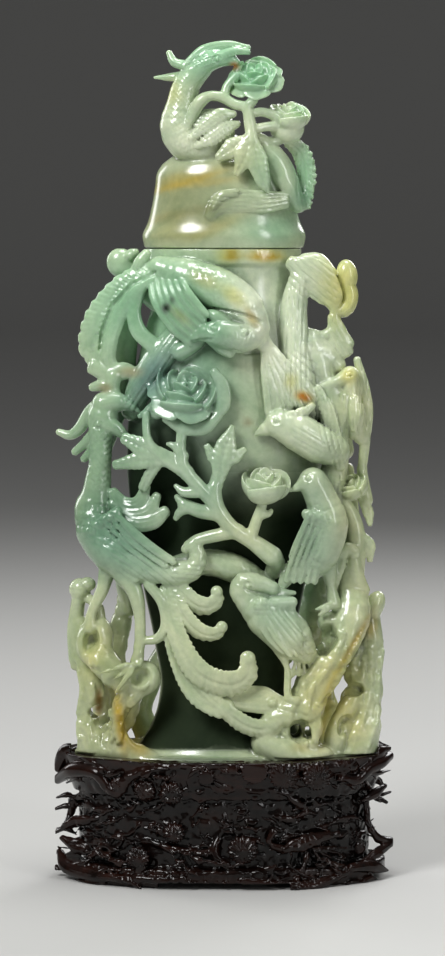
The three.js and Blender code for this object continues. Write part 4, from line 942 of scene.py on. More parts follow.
    # Foot of the stand: waves and shelves of rock.
    blade([[60, 852, ov(60, 168, 96, 0)], [68, 866, ov(68, 168, 96, 2)], [92, 874, ov(92, 166, 96, 3)], [118, 878, ov(118, 166, 96, 3)]], [4, 8, 7, 4], 5, 10, 2, 1)
    blade([[56, 868, ov(58, 169, 97, 0)], [68, 878, ov(68, 164, 92, 0)], [94, 884, ov(94, 163, 91, 2)]], [4, 8, 4], 5, 10, 2, 1)
    limb([[116, 877, ov(116, 164, 94, 3)], [150, 880, ov(150, 164, 94, 4)], [184, 879, ov(184, 164, 94, 3)]], [4.5, 5, 4], 2)
    limb([[162, 896, ov(162, 164, 94, 0)], [182, 894, ov(182, 164, 94, 2)], [205, 886, ov(205, 164, 94, 2)]], [3.5, 5, 4], 2)
    blade([[244, 882, ov(244, 166, 96, 2)], [272, 887, ov(272, 166, 96, 4)], [310, 886, ov(310, 166, 96, 4)], [346, 873, ov(346, 166, 96, 2)]], [5, 7, 7, 4], 5, 10, 2, 1)
    limb([[270, 895, ov(270, 166, 96, 0)], [300, 895, ov(300, 166, 96, 2)], [328, 891, ov(328, 166, 96, 0)]], [4, 5, 4], 2)
    blade([[350, 868, ov(350, 166, 96, 2)], [372, 866, ov(372, 168, 96, 0)], [386, 872, ov(386, 168, 96, 0)]], [5, 7, 4], 5, 10, 2, 1)
    # Back of the stand, plainer.
    limb([[70, 752, -ov(70, 166, 94, 0)], [120, 744, -ov(120, 166, 94, 0)], [180, 744, -ov(180, 166, 94, 0)], [240, 738, -ov(240, 166, 94, 0)], [300, 744, -ov(300, 166, 94, 0)], [370, 750, -ov(370, 166, 94, 0)]], [6, 6.4, 6, 6, 6, 6], 2)
    limb([[110, 812, -ov(110, 148, 82, 2)], [170, 794, -ov(170, 146, 80, 2)], [230, 804, -ov(230, 146, 80, 2)], [300, 792, -ov(300, 146, 80, 2)]], [4, 5, 5, 4], 2)
    pine(140, 794, -ov(140, 146, 80, 4), 13)
    pine(206, 792, -ov(206, 146, 80, 4), 13)
    pine(266, 790, -ov(266, 146, 80, 4), 13)
    pine(320, 798, -ov(320, 146, 80, 4), 12)
    pine(120, 754, -ov(120, 166, 94, 4), 13)
    pine(224, 752, -ov(224, 166, 94, 4), 14)
    pine(328, 754, -ov(328, 166, 94, 4), 13)
    limb([[90, 862, -ov(90, 166, 96, 2)], [150, 858, -ov(150, 166, 96, 2)], [224, 850, -ov(224, 166, 96, 2)], [300, 856, -ov(300, 166, 96, 2)], [356, 862, -ov(356, 166, 96, 2)]], [6, 6.4, 6, 6, 6], 2)

def ridges(path, spread, n, r, lift, seed):
    """Uneven ridges side by side along a path, on the front surface."""
    rng = np.random.default_rng(seed)
    for i in range(n):
        off = spread * (2.0 * i / max(1, n - 1) - 1) * float(rng.uniform(0.85, 1.1))
        shift = rng.normal(0, spread * 0.16, len(path))
        pts = []
        for j, q in enumerate(path):
            a, b = path[max(0, j - 1)], path[min(len(path) - 1, j + 1)]
            du, dv = b[0] - a[0], b[1] - a[1]
            ln = math.hypot(du, dv)
            pts.append([q[0] - dv / ln * (off + shift[j]), q[1] + du / ln * (off + shift[j])])
        got = [g for g in on_surface(pts) if g[2] > -10]
        run = [got[0]] if got else []
        for g in got[1:] + [None]:
            if g is not None and abs(g[2] - run[-1][2]) < 5:
                run.append(g)
                continue
            if len(run) > 5:
                C = np.array([at(p[0], p[1], p[2] - r + lift) for p in run])
                m = len(C)
                taper = np.clip(np.minimum(np.arange(m) + 1, m - np.arange(m)) / 6.0, 0.35, 1)
                strand(C, r * UNIT * taper, 0.9, False)
            run = [g] if g is not None else []


def grave_vase():
    # upper-left bird: overlapping feathers on the back, lines on neck and tail fan
    etch("scales", 222, 290, 46, 17, 38, 0.2, 9, 40, 90, soft=0.4)
    line([[156, 272], [132, 284], [112, 306], [102, 332], [100, 352]], 2.4, 3.0)
    for i in range(22):
        f = i / 21
        u, v = 146 - 52 * f + 6 * math.sin(math.pi * f) - 10 * math.sin(math.pi * f), 272 + 78 * f - 14 * math.sin(math.pi * f)
        line([[u, v], [u - 7 + 2 * f, v - 5 + 9 * f]], 1.0, 0.8)
    etch("arcs", 236, 338, 20, 12, 0, 0.25, 4.5, 50, 100, centre=(207, 333))
    etch("rays", 290, 384, 34, 36, 40, 0.5, 6.5, 40, 90, centre=(256, 326))
    etch("lines", 154, 372, 52, 18, 124, 0.5, 5.5, 10, 56)
    # tree: lengthwise grain, leaf veins
    etch("lines", 297, 340, 70, 17, 92, 0.55, 5.2, 25, 80, bend=0.04)
    etch("lines", 314, 281, 32, 24, 40, 0.5, 6.0, 25, 80, bend=0.05)
    etch("lines", 342, 338, 22, 13, 62, 0.4, 5.0, 15, 70)
    etch("lines", 330, 428, 46, 12, 76, 0.45, 5.0, 30, 80)
    # long-billed bird
    etch("lines", 353, 414, 30, 14, 88, 0.4, 4.6, 20, 80)
    etch("lines", 364, 405, 46, 9, 86, 0.35, 4.2, 5, 60)
    # great phoenix: neck, breast, wing
    etch("scales", 101, 458, 40, 14, 94, 0.32, 6.5, 20, 80)
    etch("scales", 100, 524, 26, 22, 52, 0.34, 11, 25, 90)
    etch("lines", 140, 560, 48, 20, 36, 0.5, 6.0, 40, 100, bend=-0.06)
    etch("lines", 184, 570, 26, 13, 5, 0.4, 4.6, 40, 100)
    # small birds: wings and breast
    etch("lines", 304, 552, 36, 19, 113, 0.55, 5.6, 45, 100, bend=0.05)
    etch("scales", 318, 517, 15, 16, 108, 0.35, 7, 45, 100)
    etch("lines", 288, 634, 34, 17, 50, 0.55, 5.4, 45, 110, bend=0.05)
    etch("scales", 265, 608, 14, 14, 48, 0.35, 7, 45, 110)
    etch("lines", 308, 440, 24, 11, 30, 0.4, 4.8, 40, 100)
    line([[189, 342], [200, 340], [214, 339]], 1.3, 1.3)
    line([[262, 322], [246, 315], [230, 311], [212, 308]], 2.0, 2.4)
    line([[262, 352], [246, 354], [232, 350]], 1.6, 1.6)
    # rockwork
    ridges([[304, 750], [308, 716], [320, 690], [338, 660], [354, 626]], 17, 6, 4.2, 1.6, 5)
    ridges([[350, 752], [362, 716], [366, 680], [368, 640]], 13, 4, 4.0, 1.5, 6)
    ridges([[104, 752], [118, 722], [122, 704], [136, 690]], 10, 4, 4.0, 1.5, 7)
    ridges([[90, 748], [89, 716], [92, 690], [88, 656]], 9, 3, 3.8, 1.5, 8)
    etch("rock", 108, 700, 52, 76, 0, 0.75, 13, -40, 80)
    etch("rock", 334, 690, 66, 84, 0, 0.7, 14, -40, 80)
    etch("rock", 224, 566, 46, 20, 10, 0.35, 8, 30, 80)
    # back of the rockwork
    etch("rock", 118, 680, 40, 90, 0, 0.8, 14, -110, -8)
    etch("rock", 312, 640, 48, 130, 0, 0.8, 15, -110, -8)


def grave_cover():
    etch("scales", 181, 104, 36, 14, 92, 0.15, 5.6, 0, 60)
    etch("scales", 190, 138, 22, 18, 20, 0.26, 7, 10, 60)
    etch("arcs", 214, 130, 24, 20, 0, 0.3, 5.0, 20, 70, centre=(190, 152))
    etch("lines", 246, 202, 44, 11, -2, 0.34, 4.4, 30, 80, bend=0.1)
    etch("lines", 305, 176, 40, 13, 88, 0.34, 4.4, -5, 50, bend=0.08)
    etch("lines", 216, 56, 34, 9, -18, 0.26, 3.8, 10, 60)


def side_of_stand(v):
    """Half sizes of the stand's oval at height v, drawing units."""
    rim, waist, foot = (165, 93), (147, 81), (164, 94)
    a = min(1, max(0, (v - 778) / 14.0))
    b = min(1, max(0, (v - 848) / 16.0))
    one = [rim[i] + (waist[i] - rim[i]) * a for i in range(2)]
    return [one[i] + (foot[i] - one[i]) * b for i in range(2)]


def grave_stand():
    rng = np.random.default_rng(23)
    # dense strokes of leaf and rock over the front and, fewer, over the back
    for face, count in ((1, 230), (-1, 90)):
        for n in range(count):
            u = float(rng.uniform(66, 382))
            v = float(rng.uniform(764, 888)) - (0 if face > 0 else 26)
            a = math.radians(float(rng.normal(0, 24)))
            half = float(rng.uniform(6, 15))
            lift = float(rng.uniform(-1.0, 3.5))
            pts = []
            for t in (-1, 0, 1):
                uu = u + half * t * math.cos(a)
                vv = v + half * t * math.sin(a) + 3 * (1 - t * t) * (1 if n % 2 else -1)
                A, B = side_of_stand(vv + (0 if face > 0 else 26))
                k = max(0.02, 1 - ((uu - CX) / A) ** 2)
                pts.append([uu, vv, face * (B * math.sqrt(k) + lift - 1.5)])
            w = float(rng.uniform(2.2, 4.6))
            if n % 3 == 0:
                limb(pts, [w * 0.5, w * 0.75, w * 0.45], 1)
            else:
                blade(pts, [w * 0.4, w, w * 0.3], 2.6, float(rng.uniform(-25, 25)), 2 if n % 3 == 1 else 0, 0.6)
    etch("rock", 224, 826, 176, 84, 0, 0.6, 8, -110, 110)
    # pine sprays over the strokes
    for u, v, r in ((254, 771, 15), (284, 775, 16), (317, 776, 16), (145, 790, 13), (171, 793, 14), (174, 833, 12), (138, 858, 13), (243, 850, 16), (206, 778, 10), (118, 784, 9)):
        A, B = side_of_stand(v)
        k = max(0.02, 1 - ((u - CX) / A) ** 2)
        pine(u, v, B * math.sqrt(k) + 2.5, r)


# ---- bodies of the pieces ----
def stretch(rows):
    return lambda z: (rows_at(rows, z, 1).astype(F32), rows_at(rows, z, 2).astype(F32))


def oval_body(field, rows, shrink, z0, z1):
    lo = [-45, -30, min(z0, z1) - 3]
    hi = [45, 30, max(z0, z1) + 3]
    s, X, Y, Z = field.window(lo, hi)
    z = Z.ravel().astype(float)
    a = np.maximum(rows_at(rows, z, 1) - shrink, 0.8).astype(F32)[None, None, :]
    b = np.maximum(rows_at(rows, z, 2) - shrink, 0.8).astype(F32)[None, None, :]
    d = oval_distance(X, Y, Z, a, b)
    e = np.maximum(F32(z0) - Z, Z - F32(z1))
    return s, np.maximum(d, e)


def make_vase():
    f = Field([-67, -39, 44.5], [69, 35, 254], FINE)
    into(f)
    s, d = oval_body(f, VASE_ROWS, 0, SEAT_Z, SEAM_Z - GAP)
    f.join(s, d, 0)
    s, X, Y, Z = f.window([-62, -30, 44], [62, 30, 54])
    f.join(s, slab(X, Y, Z, SEAT_Z, SEAT_Z + PLATE[2], PLATE[0], PLATE[1], 1.2), 1.0)
    carve_vase()
    grave_vase()
    # seams, seat and hollow
    s, X, Y, Z = f.everywhere()
    inner = [r for r in VASE_ROWS if r[0] < FLOOR_V - 8] + [[FLOOR_V, 56, 32]]
    w, d = oval_body(f, inner, WALL, height_of(FLOOR_V), SEAM_Z + 20)
    f.carve(w, d, 0.8)
    low, X2, Y2, Z2 = f.window([-70, -40, 40], [70, 40, STAND_TOP + 1.2])
    ring = np.maximum(-oval_distance(X2, Y2, Z2, F32(RECESS_HALF[0] - 0.5), F32(RECESS_HALF[1] - 0.5)), Z2 - F32(STAND_TOP + 0.5))
    f.carve(low, ring, 0.3)
    f.g = np.maximum(f.g, np.maximum(F32(SEAT_Z) - Z, Z - F32(SEAM_Z - GAP)))
    return f


def make_cover():
    f = Field([-35, -25, 245.5], [39, 23, 335.5], FINE * 0.8)
    into(f)
    s, d = oval_body(f, COVER_ROWS, 0, SEAM_Z, height_of(150) + 0.3)
    f.join(s, d, 0)
    carve_cover()
    grave_cover()
    s, X, Y, Z = f.everywhere()
    f.g = np.maximum(f.g, F32(SEAM_Z) - Z)
    throat = [(TONGUE[0] - TONGUE[3] + WALL) / UNIT, (TONGUE[1] - TONGUE[3] + WALL) / UNIT]
    dome = [[247.4] + throat, [236] + throat] + [r for r in COVER_ROWS if 163 < r[0] < 220] + [[163, 50, 32]]
    w, d = oval_body(f, dome, WALL, SEAM_Z - 20, height_of(163))
    f.carve(w, d, 0.8)
    s, X, Y, Z = f.window([-30, -20, 245], [30, 20, SEAM_Z + 5])
    f.join(s, np.maximum(slab(X, Y, Z, SEAM_Z - TONGUE[2], SEAM_Z + 4, TONGUE[0], TONGUE[1]),
                         -oval_distance(X, Y, Z, F32(TONGUE[0] - TONGUE[3]), F32(TONGUE[1] - TONGUE[3]))), 0.2)
    return f


def make_stand():
    f = Field([-70, -40, -1], [70, 40, 58], FINE * 0.9)
    into(f)
    SA, SB = STAND_HALF
    s, X, Y, Z = f.everywhere()
    f.join(s, slab(X, Y, Z, 0, 8, SA - 1.6, SB - 0.9, 1.5), 0)
    f.join(s, slab(X, Y, Z, 4, 40, SA - 8, SB - 5.5), 1.5)
    t = np.clip((Z - 35) / F32(STAND_TOP - 35), 0, 1)
    rim = np.maximum(oval_distance(X, Y, Z, F32(SA - 6) + t * F32(5.5), F32(SB - 4) + t * F32(3.8)), np.maximum(F32(35) - Z, Z - F32(STAND_TOP)))
    f.join(s, rim, 1.2)
    carve_stand()
    grave_stand()
    s, X, Y, Z = f.everywhere()
    box = np.maximum(np.maximum(np.abs(X) - 68, np.abs(Y) - F32(37.7)), np.maximum(-Z, Z - F32(STAND_TOP + 6)))
    f.g = np.maximum(f.g, box)
    f.g = np.maximum(f.g, -np.maximum(np.abs(X) - 61, F32(STAND_TOP) - Z))
    f.g = np.maximum(f.g, -np.maximum(oval_distance(X, Y, Z, F32(RECESS_HALF[0]), F32(RECESS_HALF[1])), F32(SEAT_Z - GAP) - Z))
    f.g = np.maximum(f.g, -np.maximum(np.abs(X) - 26, Z - F32(2.6)))
    f.g = np.maximum(f.g, -np.maximum(np.abs(Y) - 14, Z - F32(2.6)))
    return f


def skin(name, f, tris, parts=1):
    """Mesh of a field: its largest connected body, thinned to the triangle limit and handed back in parts."""
    grid = openvdb.FloatGrid(background=FAR)
    grid.copyFromArray(f.g)
    pts, tri, quad = grid.convertToPolygons(0.0, 0.0)
    pts = pts * f.h + f.lo
    faces = np.concatenate([quad[:, [0, 1, 2]], quad[:, [0, 2, 3]]] + ([tri] if len(tri) else []))
    # keep the largest body
    lab = np.arange(len(pts))
    while True:
        m = lab[faces].min(1)
        new = lab.copy()
        for j in range(3):
            np.minimum.at(new, faces[:, j], m)
        new = new[new]
        if np.array_equal(new, lab):
            break
        lab = new
    ids, cnt = np.unique(lab[faces[:, 0]], return_counts=True)
    keep = lab[faces[:, 0]] == ids[cnt.argmax()]
    for b, c in sorted(zip(ids.tolist(), cnt.tolist()), key=lambda q: -q[1])[1:8]:
        q = pts[lab == b]
        print("   loose", c, q.min(0).round(1).tolist(), q.max(0).round(1).tolist())
    faces = faces[keep][:, ::-1]
    used = np.unique(faces)
    back = np.zeros(len(pts), int)
    back[used] = np.arange(len(used))
    pts, faces = pts[used], back[faces]
    v0 = pts[faces]
    if np.einsum('ij,ij->i', v0[:, 0], np.cross(v0[:, 1], v0[:, 2])).sum() < 0:
        faces = faces[:, ::-1]
    me = bpy.data.meshes.new(name)
    me.vertices.add(len(pts))
    me.vertices.foreach_set("co", (pts * 0.001).astype(F32).ravel())
    me.loops.add(faces.size)
    me.loops.foreach_set("vertex_index", faces.astype(np.int32).ravel())
    me.polygons.add(len(faces))
    me.polygons.foreach_set("loop_start", np.arange(0, faces.size, 3, dtype=np.int32))
    me.update(calc_edges=True)
    ob = bpy.data.objects.new(name, me)
    bpy.context.scene.collection.objects.link(ob)
    tris *= parts
    if len(faces) > tris:
        mod = ob.modifiers.new("thin", 'DECIMATE')
        mod.ratio = tris / len(faces)
        dg = bpy.context.evaluated_depsgraph_get()
        new = bpy.data.meshes.new_from_object(ob.evaluated_get(dg))
        ob.modifiers.clear()
        ob.data = new
        bpy.data.meshes.remove(me)
        new.name = name
    if parts == 1:
        ob.data.polygons.foreach_set("use_smooth", np.ones(len(ob.data.polygons), bool))
        return [ob]
    # cut into parts by height; the normals of the whole are kept, so no seam shows
    me = ob.data
    co = np.empty(len(me.vertices) * 3, F32)
    me.vertices.foreach_get("co", co)
    co = co.reshape(-1, 3)
    nor = np.empty(len(me.vertices) * 3, F32)
    me.vertex_normals.foreach_get("vector", nor)
    nor = nor.reshape(-1, 3)
    idx = np.empty(len(me.loops), np.int32)
    me.loops.foreach_get("vertex_index", idx)
    idx = idx.reshape(-1, 3)
    order = np.argsort(co[idx, 2].mean(1), kind="stable")
    out = []
    for k, rows in enumerate(np.array_split(order, parts)):
        tri = idx[rows]
        used, tri = np.unique(tri, return_inverse=True)
        tri = tri.reshape(-1, 3)
        pm = bpy.data.meshes.new(name + "_" + str(k + 1))
        pm.vertices.add(len(used))
        pm.vertices.foreach_set("co", co[used].ravel())
        pm.loops.add(tri.size)
        pm.loops.foreach_set("vertex_index", tri.astype(np.int32).ravel())
        pm.polygons.add(len(tri))
        pm.polygons.foreach_set("loop_start", np.arange(0, tri.size, 3, dtype=np.int32))
        pm.update(calc_edges=True)
        pm.polygons.foreach_set("use_smooth", np.ones(len(tri), bool))
        pm.normals_split_custom_set_from_vertices(nor[used].tolist())
        po = bpy.data.objects.new(pm.name, pm)
        bpy.context.scene.collection.objects.link(po)
        out.append(po)
    bpy.data.objects.remove(ob)
    bpy.data.meshes.remove(me)
    return out


# ---- colour of the stone by place ----
def lin(c):
    c = np.array(c, float) / 255.0
    return np.where(c <= 0.04045, c / 12.92, ((c + 0.055) / 1.055) ** 2.4)


CELADON = (186, 197, 168)
GREEN = (112, 154, 126)
MINT = (140, 184, 152)
BLUISH = (132, 168, 150)
CREAM = (206, 206, 166)
PALE = (220, 226, 206)
AMBER = (186, 150, 16)
OLIVE = (172, 160, 96)
YELLOW = (204, 196, 104)
RUSSET = (174, 104, 10)
BROWN = (128, 88, 38)
BLACK = (22, 24, 20)

# soft zones: u, v, half width, half height, turn, colour, strength
ZONES_VASE = [
    (140, 310, 70, 60, 0, MINT, 0.85), (200, 300, 52, 34, 30, MINT, 0.55), (225, 335, 36, 22, 0, GREEN, 0.7),
    (255, 310, 26, 60, 0, PALE, 0.8), (300, 330, 40, 80, 0, PALE, 0.75), (345, 290, 26, 40, 0, YELLOW, 0.7),
    (205, 280, 16, 8, 25, OLIVE, 0.45), (234, 296, 14, 8, 40, YELLOW, 0.5), (252, 318, 11, 5, 60, AMBER, 0.5), (180, 316, 12, 5, 40, AMBER, 0.25),
    # the zone at u 152, v 376 on the next line darkens the limb behind the upper-left bird to a dull blue-grey, partly
    # its own colour and partly painted shade
    (190, 390, 46, 46, 0, BLUISH, 0.85), (140, 400, 26, 40, 0, BLUISH, 0.6), (152, 376, 15, 34, 34, (92, 124, 122), 0.8),
    (100, 440, 46, 60, 0, GREEN, 0.65), (108, 526, 44, 46, 0, (88, 128, 104), 0.9), (130, 556, 46, 26, 20, BLUISH, 0.6),
    (190, 480, 60, 60, 0, BLUISH, 0.5), (265, 484, 30, 24, 0, PALE, 0.4), (240, 530, 36, 20, 0, CREAM, 0.35),
    (298, 438, 40, 24, 0, PALE, 0.25), (316, 530, 28, 52, 0, (118, 148, 130), 0.65), (280, 615, 36, 42, 40, BLUISH, 0.55),
    (355, 400, 22, 40, 0, CREAM, 0.6), (349, 376, 9, 8, 0, YELLOW, 0.7), (356, 500, 24, 60, 0, CREAM, 0.6), (365, 600, 24, 40, 0, CREAM, 0.7),
    (220, 660, 60, 50, 30, CREAM, 0.45), (320, 700, 70, 70, 0, CREAM, 0.7), (105, 690, 46, 90, 0, (186, 182, 132), 0.6),
    (348, 655, 5, 46, 30, OLIVE, 0.75), (345, 658, 2.5, 44, 30, AMBER, 0.6), (326, 712, 4, 30, 8, AMBER, 0.65), (372, 628, 5, 12, 20, AMBER, 0.5), (336, 700, 22, 30, 0, YELLOW, 0.25), (300, 748, 10, 5, 0, OLIVE, 0.5),
    (304, 397, 10, 6, 20, AMBER, 0.8), (304, 397, 6, 3.5, 20, (186, 108, 0), 0.95), (291, 381, 7, 8, 0, YELLOW, 0.5), (99, 702, 4, 14, 0, BROWN, 0.9), (126, 724, 14, 32, -10, OLIVE, 0.7), (120, 722, 5, 28, -8, AMBER, 0.8), (138, 746, 16, 8, 40, AMBER, 0.55), (92, 652, 14, 24, 0, YELLOW, 0.3), (334, 690, 30, 50, 25, (196, 184, 110), 0.5), (356, 726, 14, 24, 0, (198, 190, 126), 0.5),
    (228, 255, 12, 8, 0, YELLOW, 0.7), (232, 255, 8, 6, 0, AMBER, 0.8), (266, 255, 20, 7, 0, YELLOW, 0.8), (266, 256, 16, 5, 0, AMBER, 0.95), (105, 388, 7, 5, 0, BROWN, 0.5), (130, 372, 12, 6, 0, RUSSET, 0.3),
    (166, 308, 4.5, 5, 0, BLACK, 0.95), (172, 300, 3, 4, 0, BLACK, 0.6), (248, 422, 5, 4, 0, BROWN, 0.45),
]
ZONES_COVER = [
    (205, 60, 50, 24, -15, MINT, 0.9), (256, 74, 34, 28, 0, MINT, 0.95), (183, 100, 18, 34, 0, CELADON, 0.5), (172, 92, 9, 14, 0, YELLOW, 0.35),
    (205, 136, 40, 22, 0, PALE, 0.6), (290, 118, 24, 26, 0, PALE, 0.5), (300, 108, 10, 12, 0, MINT, 0.5),
    (240, 160, 24, 24, 0, CREAM, 0.55), (268, 172, 20, 26, 0, MINT, 0.45), (306, 170, 14, 34, 0, MINT, 0.75), (302, 200, 14, 14, 0, GREEN, 0.7),
    (185, 205, 48, 44, 0, (132, 136, 96), 0.8), (188, 178, 40, 8, -14, OLIVE, 0.8), (180, 184, 40, 3.5, -16, AMBER, 0.4), (214, 182, 26, 4, -8, AMBER, 0.3), (180, 214, 46, 5, -12, (140, 128, 78), 0.4), (245, 200, 36, 10, 0, CELADON, 0.5),
    (275, 228, 34, 16, -10, MINT, 0.6), (176, 232, 34, 12, -10, OLIVE, 0.35), (234, 66, 5, 4, 0, RUSSET, 0.9), (215, 228, 30, 6, -25, OLIVE, 0.45),
]


def paint(ob, field, base, zones, ground=True):
    """Colour attribute from soft zones, and a depth attribute of painted shade from how deep a place is cut and, on the
    vase, from the shaded ground.
    """
    me = ob.data
    co = np.empty(len(me.vertices) * 3, F32)
    me.vertices.foreach_get("co", co)
    p = co.reshape(-1, 3).astype(float) * 1000
    u, v = drawing_of(p)
    col = np.tile(lin(base), (len(p), 1))
    for zu, zv, ru, rv, turn, c, k in zones:
        a = math.radians(turn)
        x, y = u - zu, v - zv
        q = ((x * math.cos(a) + y * math.sin(a)) / ru) ** 2 + ((-x * math.sin(a) + y * math.cos(a)) / rv) ** 2
        w = (k * np.exp(-0.9 * q ** 1.4))[:, None]
        col = col * (1 - w) + lin(c) * w
    # painted shade: places deep between walls get a high depth value, which the finishes turn into darker colour
    depth = hollow_of(field, p)
    if ground:
        depth = np.maximum(depth, painted_ground_shade(p, u, v))
    out = np.ones((len(p), 4), F32)
    out[:, :3] = col
    layer = me.color_attributes.new("stone", 'FLOAT_COLOR', 'POINT')
    layer.data.foreach_set("color", out.ravel())
    # the depth attribute carries the painted shade to the finishes
    out[:, 0] = depth
    out[:, 1] = depth
    out[:, 2] = depth
    layer = me.color_attributes.new("depth", 'FLOAT_COLOR', 'POINT')
    layer.data.foreach_set("color", out.ravel())


def painted_ground_shade(p, u, v):
    """Painted shade on the vase's own ground, low down behind the carving, and on the front of the base plate."""
    a, b = rows_at(VASE_ROWS, p[:, 2], 1), rows_at(VASE_ROWS, p[:, 2], 2)
    off = (np.hypot(p[:, 0] / a, p[:, 1] / b) - 1) * np.minimum(a, b)
    near = np.clip((3.2 - off) / 2.4, 0, 1) * np.clip((off + 3) / 1.5, 0, 1)
    start = 418 - 70 * np.clip((215 - u) / 40, 0, 1)
    low = np.clip((v - start) / 105, 0, 1) * np.clip((754 - v) / 6, 0, 1)
    plate_shade = np.clip((51.2 - p[:, 2]) / 0.8, 0, 1) * np.clip((75 - np.abs(u - 212)) / 25, 0, 1) * 0.72
    return np.maximum(near * low * low * (3 - 2 * low), plate_shade) * np.clip((2.0 - p[:, 1]) / 6.0, 0, 1)


def hollow_of(field, p):
    """0 on open ground, up to 1 deep between walls, from the share of solid around a point; the finishes darken by it
    as painted shade.
    """
    step = max(1, int(round(1.6 / field.h)))
    g = field.g
    n = [(k // step) * step for k in g.shape]
    occ = (g[:n[0], :n[1], :n[2]] < 0).astype(F32)
    occ = occ.reshape(n[0] // step, step, n[1] // step, step, n[2] // step, step).mean((1, 3, 5))

    def soft(a, r):
        for ax in range(3):
            k = 2 * r + 1
            pad = [(0, 0)] * 3
            pad[ax] = (r + 1, r)
            c = np.cumsum(np.pad(a, pad), axis=ax)
            hi = [slice(None)] * 3
            lo = [slice(None)] * 3
            hi[ax] = slice(k, None)
            lo[ax] = slice(0, -k)
            a = (c[tuple(hi)] - c[tuple(lo)]) / k
        return a
    b = soft(soft(occ, 3), 3)
    q = (p - field.lo) / (field.h * step) - 0.5
    i = np.clip(np.round(q).astype(int), 0, np.array(b.shape) - 1)
    share = b[i[:, 0], i[:, 1], i[:, 2]]
    return np.clip((share - 0.40) / 0.35, 0, 1).astype(F32)


# ---- finish ----
def nodes_of(mat):
    mat.use_nodes = True
    nt = mat.node_tree
    return nt, nt.nodes, nt.links, nt.nodes["Principled BSDF"]


def stone_finish(name):
    mat = bpy.data.materials.new(name)
    nt, N, L, bsdf = nodes_of(mat)
    col = N.new("ShaderNodeVertexColor")
    col.layer_name = "stone"
    dep = N.new("ShaderNodeVertexColor")
    dep.layer_name = "depth"
    tc = N.new("ShaderNodeTexCoord")
    cloud = N.new("ShaderNodeTexNoise")
    cloud.inputs["Scale"].default_value = 55
    cloud.inputs["Detail"].default_value = 5
    cloud.inputs["Roughness"].default_value = 0.6
    cloud.inputs["Distortion"].default_value = 0.6
    L.new(tc.outputs["Object"], cloud.inputs["Vector"])
    ramp = N.new("ShaderNodeValToRGB")
    ramp.color_ramp.elements[0].position = 0.32
    ramp.color_ramp.elements[0].color = (0.72, 0.80, 0.73, 1)
    ramp.color_ramp.elements[1].position = 0.70
    ramp.color_ramp.elements[1].color = (1.12, 1.10, 1.06, 1)
    L.new(cloud.outputs["Fac"], ramp.inputs["Fac"])
    mul = N.new("ShaderNodeMix")
    mul.data_type = 'RGBA'
    mul.blend_type = 'MULTIPLY'
    mul.inputs[0].default_value = 1.0
    L.new(col.outputs["Color"], mul.inputs[6])
    L.new(ramp.outputs["Color"], mul.inputs[7])
    fleck = N.new("ShaderNodeTexNoise")
    fleck.inputs["Scale"].default_value = 420
    fleck.inputs["Detail"].default_value = 3
    L.new(tc.outputs["Object"], fleck.inputs["Vector"])
    framp = N.new("ShaderNodeValToRGB")
    framp.color_ramp.elements[0].position = 0.35
    framp.color_ramp.elements[0].color = (0.93, 0.95, 0.93, 1)
    framp.color_ramp.elements[1].position = 0.65
    framp.color_ramp.elements[1].color = (1.05, 1.05, 1.03, 1)
    L.new(fleck.outputs["Fac"], framp.inputs["Fac"])
    mul2 = N.new("ShaderNodeMix")
    mul2.data_type = 'RGBA'
    mul2.blend_type = 'MULTIPLY'
    mul2.inputs[0].default_value = 1.0
    L.new(mul.outputs[2], mul2.inputs[6])
    L.new(framp.outputs["Color"], mul2.inputs[7])
    # painted shade: the depth attribute darkens the base colour to near black in recesses and on the vase's shaded
    # ground, as if in shadow; below, it also roughens the surface and dims its reflections there
    painted_shade_ramp = N.new("ShaderNodeValToRGB")
    painted_shade_ramp.color_ramp.elements[0].position = 0.0
    painted_shade_ramp.color_ramp.elements[0].color = (1, 1, 1, 1)
    painted_shade_ramp.color_ramp.elements[1].position = 1.0
    painted_shade_ramp.color_ramp.elements[1].color = (0.04, 0.055, 0.04, 1)
    mid = painted_shade_ramp.color_ramp.elements.new(0.32)
    mid.color = (0.86, 0.88, 0.86, 1)
    L.new(dep.outputs["Color"], painted_shade_ramp.inputs["Fac"])
    mul3 = N.new("ShaderNodeMix")
    mul3.data_type = 'RGBA'
    mul3.blend_type = 'MULTIPLY'
    mul3.inputs[0].default_value = 1.0
    L.new(mul2.outputs[2], mul3.inputs[6])
    L.new(painted_shade_ramp.outputs["Color"], mul3.inputs[7])
    L.new(mul3.outputs[2], bsdf.inputs["Base Color"])
    gloss = N.new("ShaderNodeMapRange")
    gloss.inputs["From Min"].default_value = 0.45
    gloss.inputs["From Max"].default_value = 1.0
    gloss.inputs["To Min"].default_value = 0.2
    gloss.inputs["To Max"].default_value = 0.75
    L.new(dep.outputs["Color"], gloss.inputs["Value"])
    L.new(gloss.outputs["Result"], bsdf.inputs["Roughness"])
    sheen = N.new("ShaderNodeMapRange")
    sheen.inputs["From Min"].default_value = 0.45
    sheen.inputs["From Max"].default_value = 1.0
    sheen.inputs["To Min"].default_value = 0.55
    sheen.inputs["To Max"].default_value = 0.06
    L.new(dep.outputs["Color"], sheen.inputs["Value"])
    L.new(sheen.outputs["Result"], bsdf.inputs["Specular IOR Level"])
    bsdf.inputs["IOR"].default_value = 1.62
    bsdf.inputs["Subsurface Weight"].default_value = 0.35
    bsdf.inputs["Subsurface Radius"].default_value = (0.9, 1.0, 0.7)
    bsdf.inputs["Subsurface Scale"].default_value = 0.003
    return mat


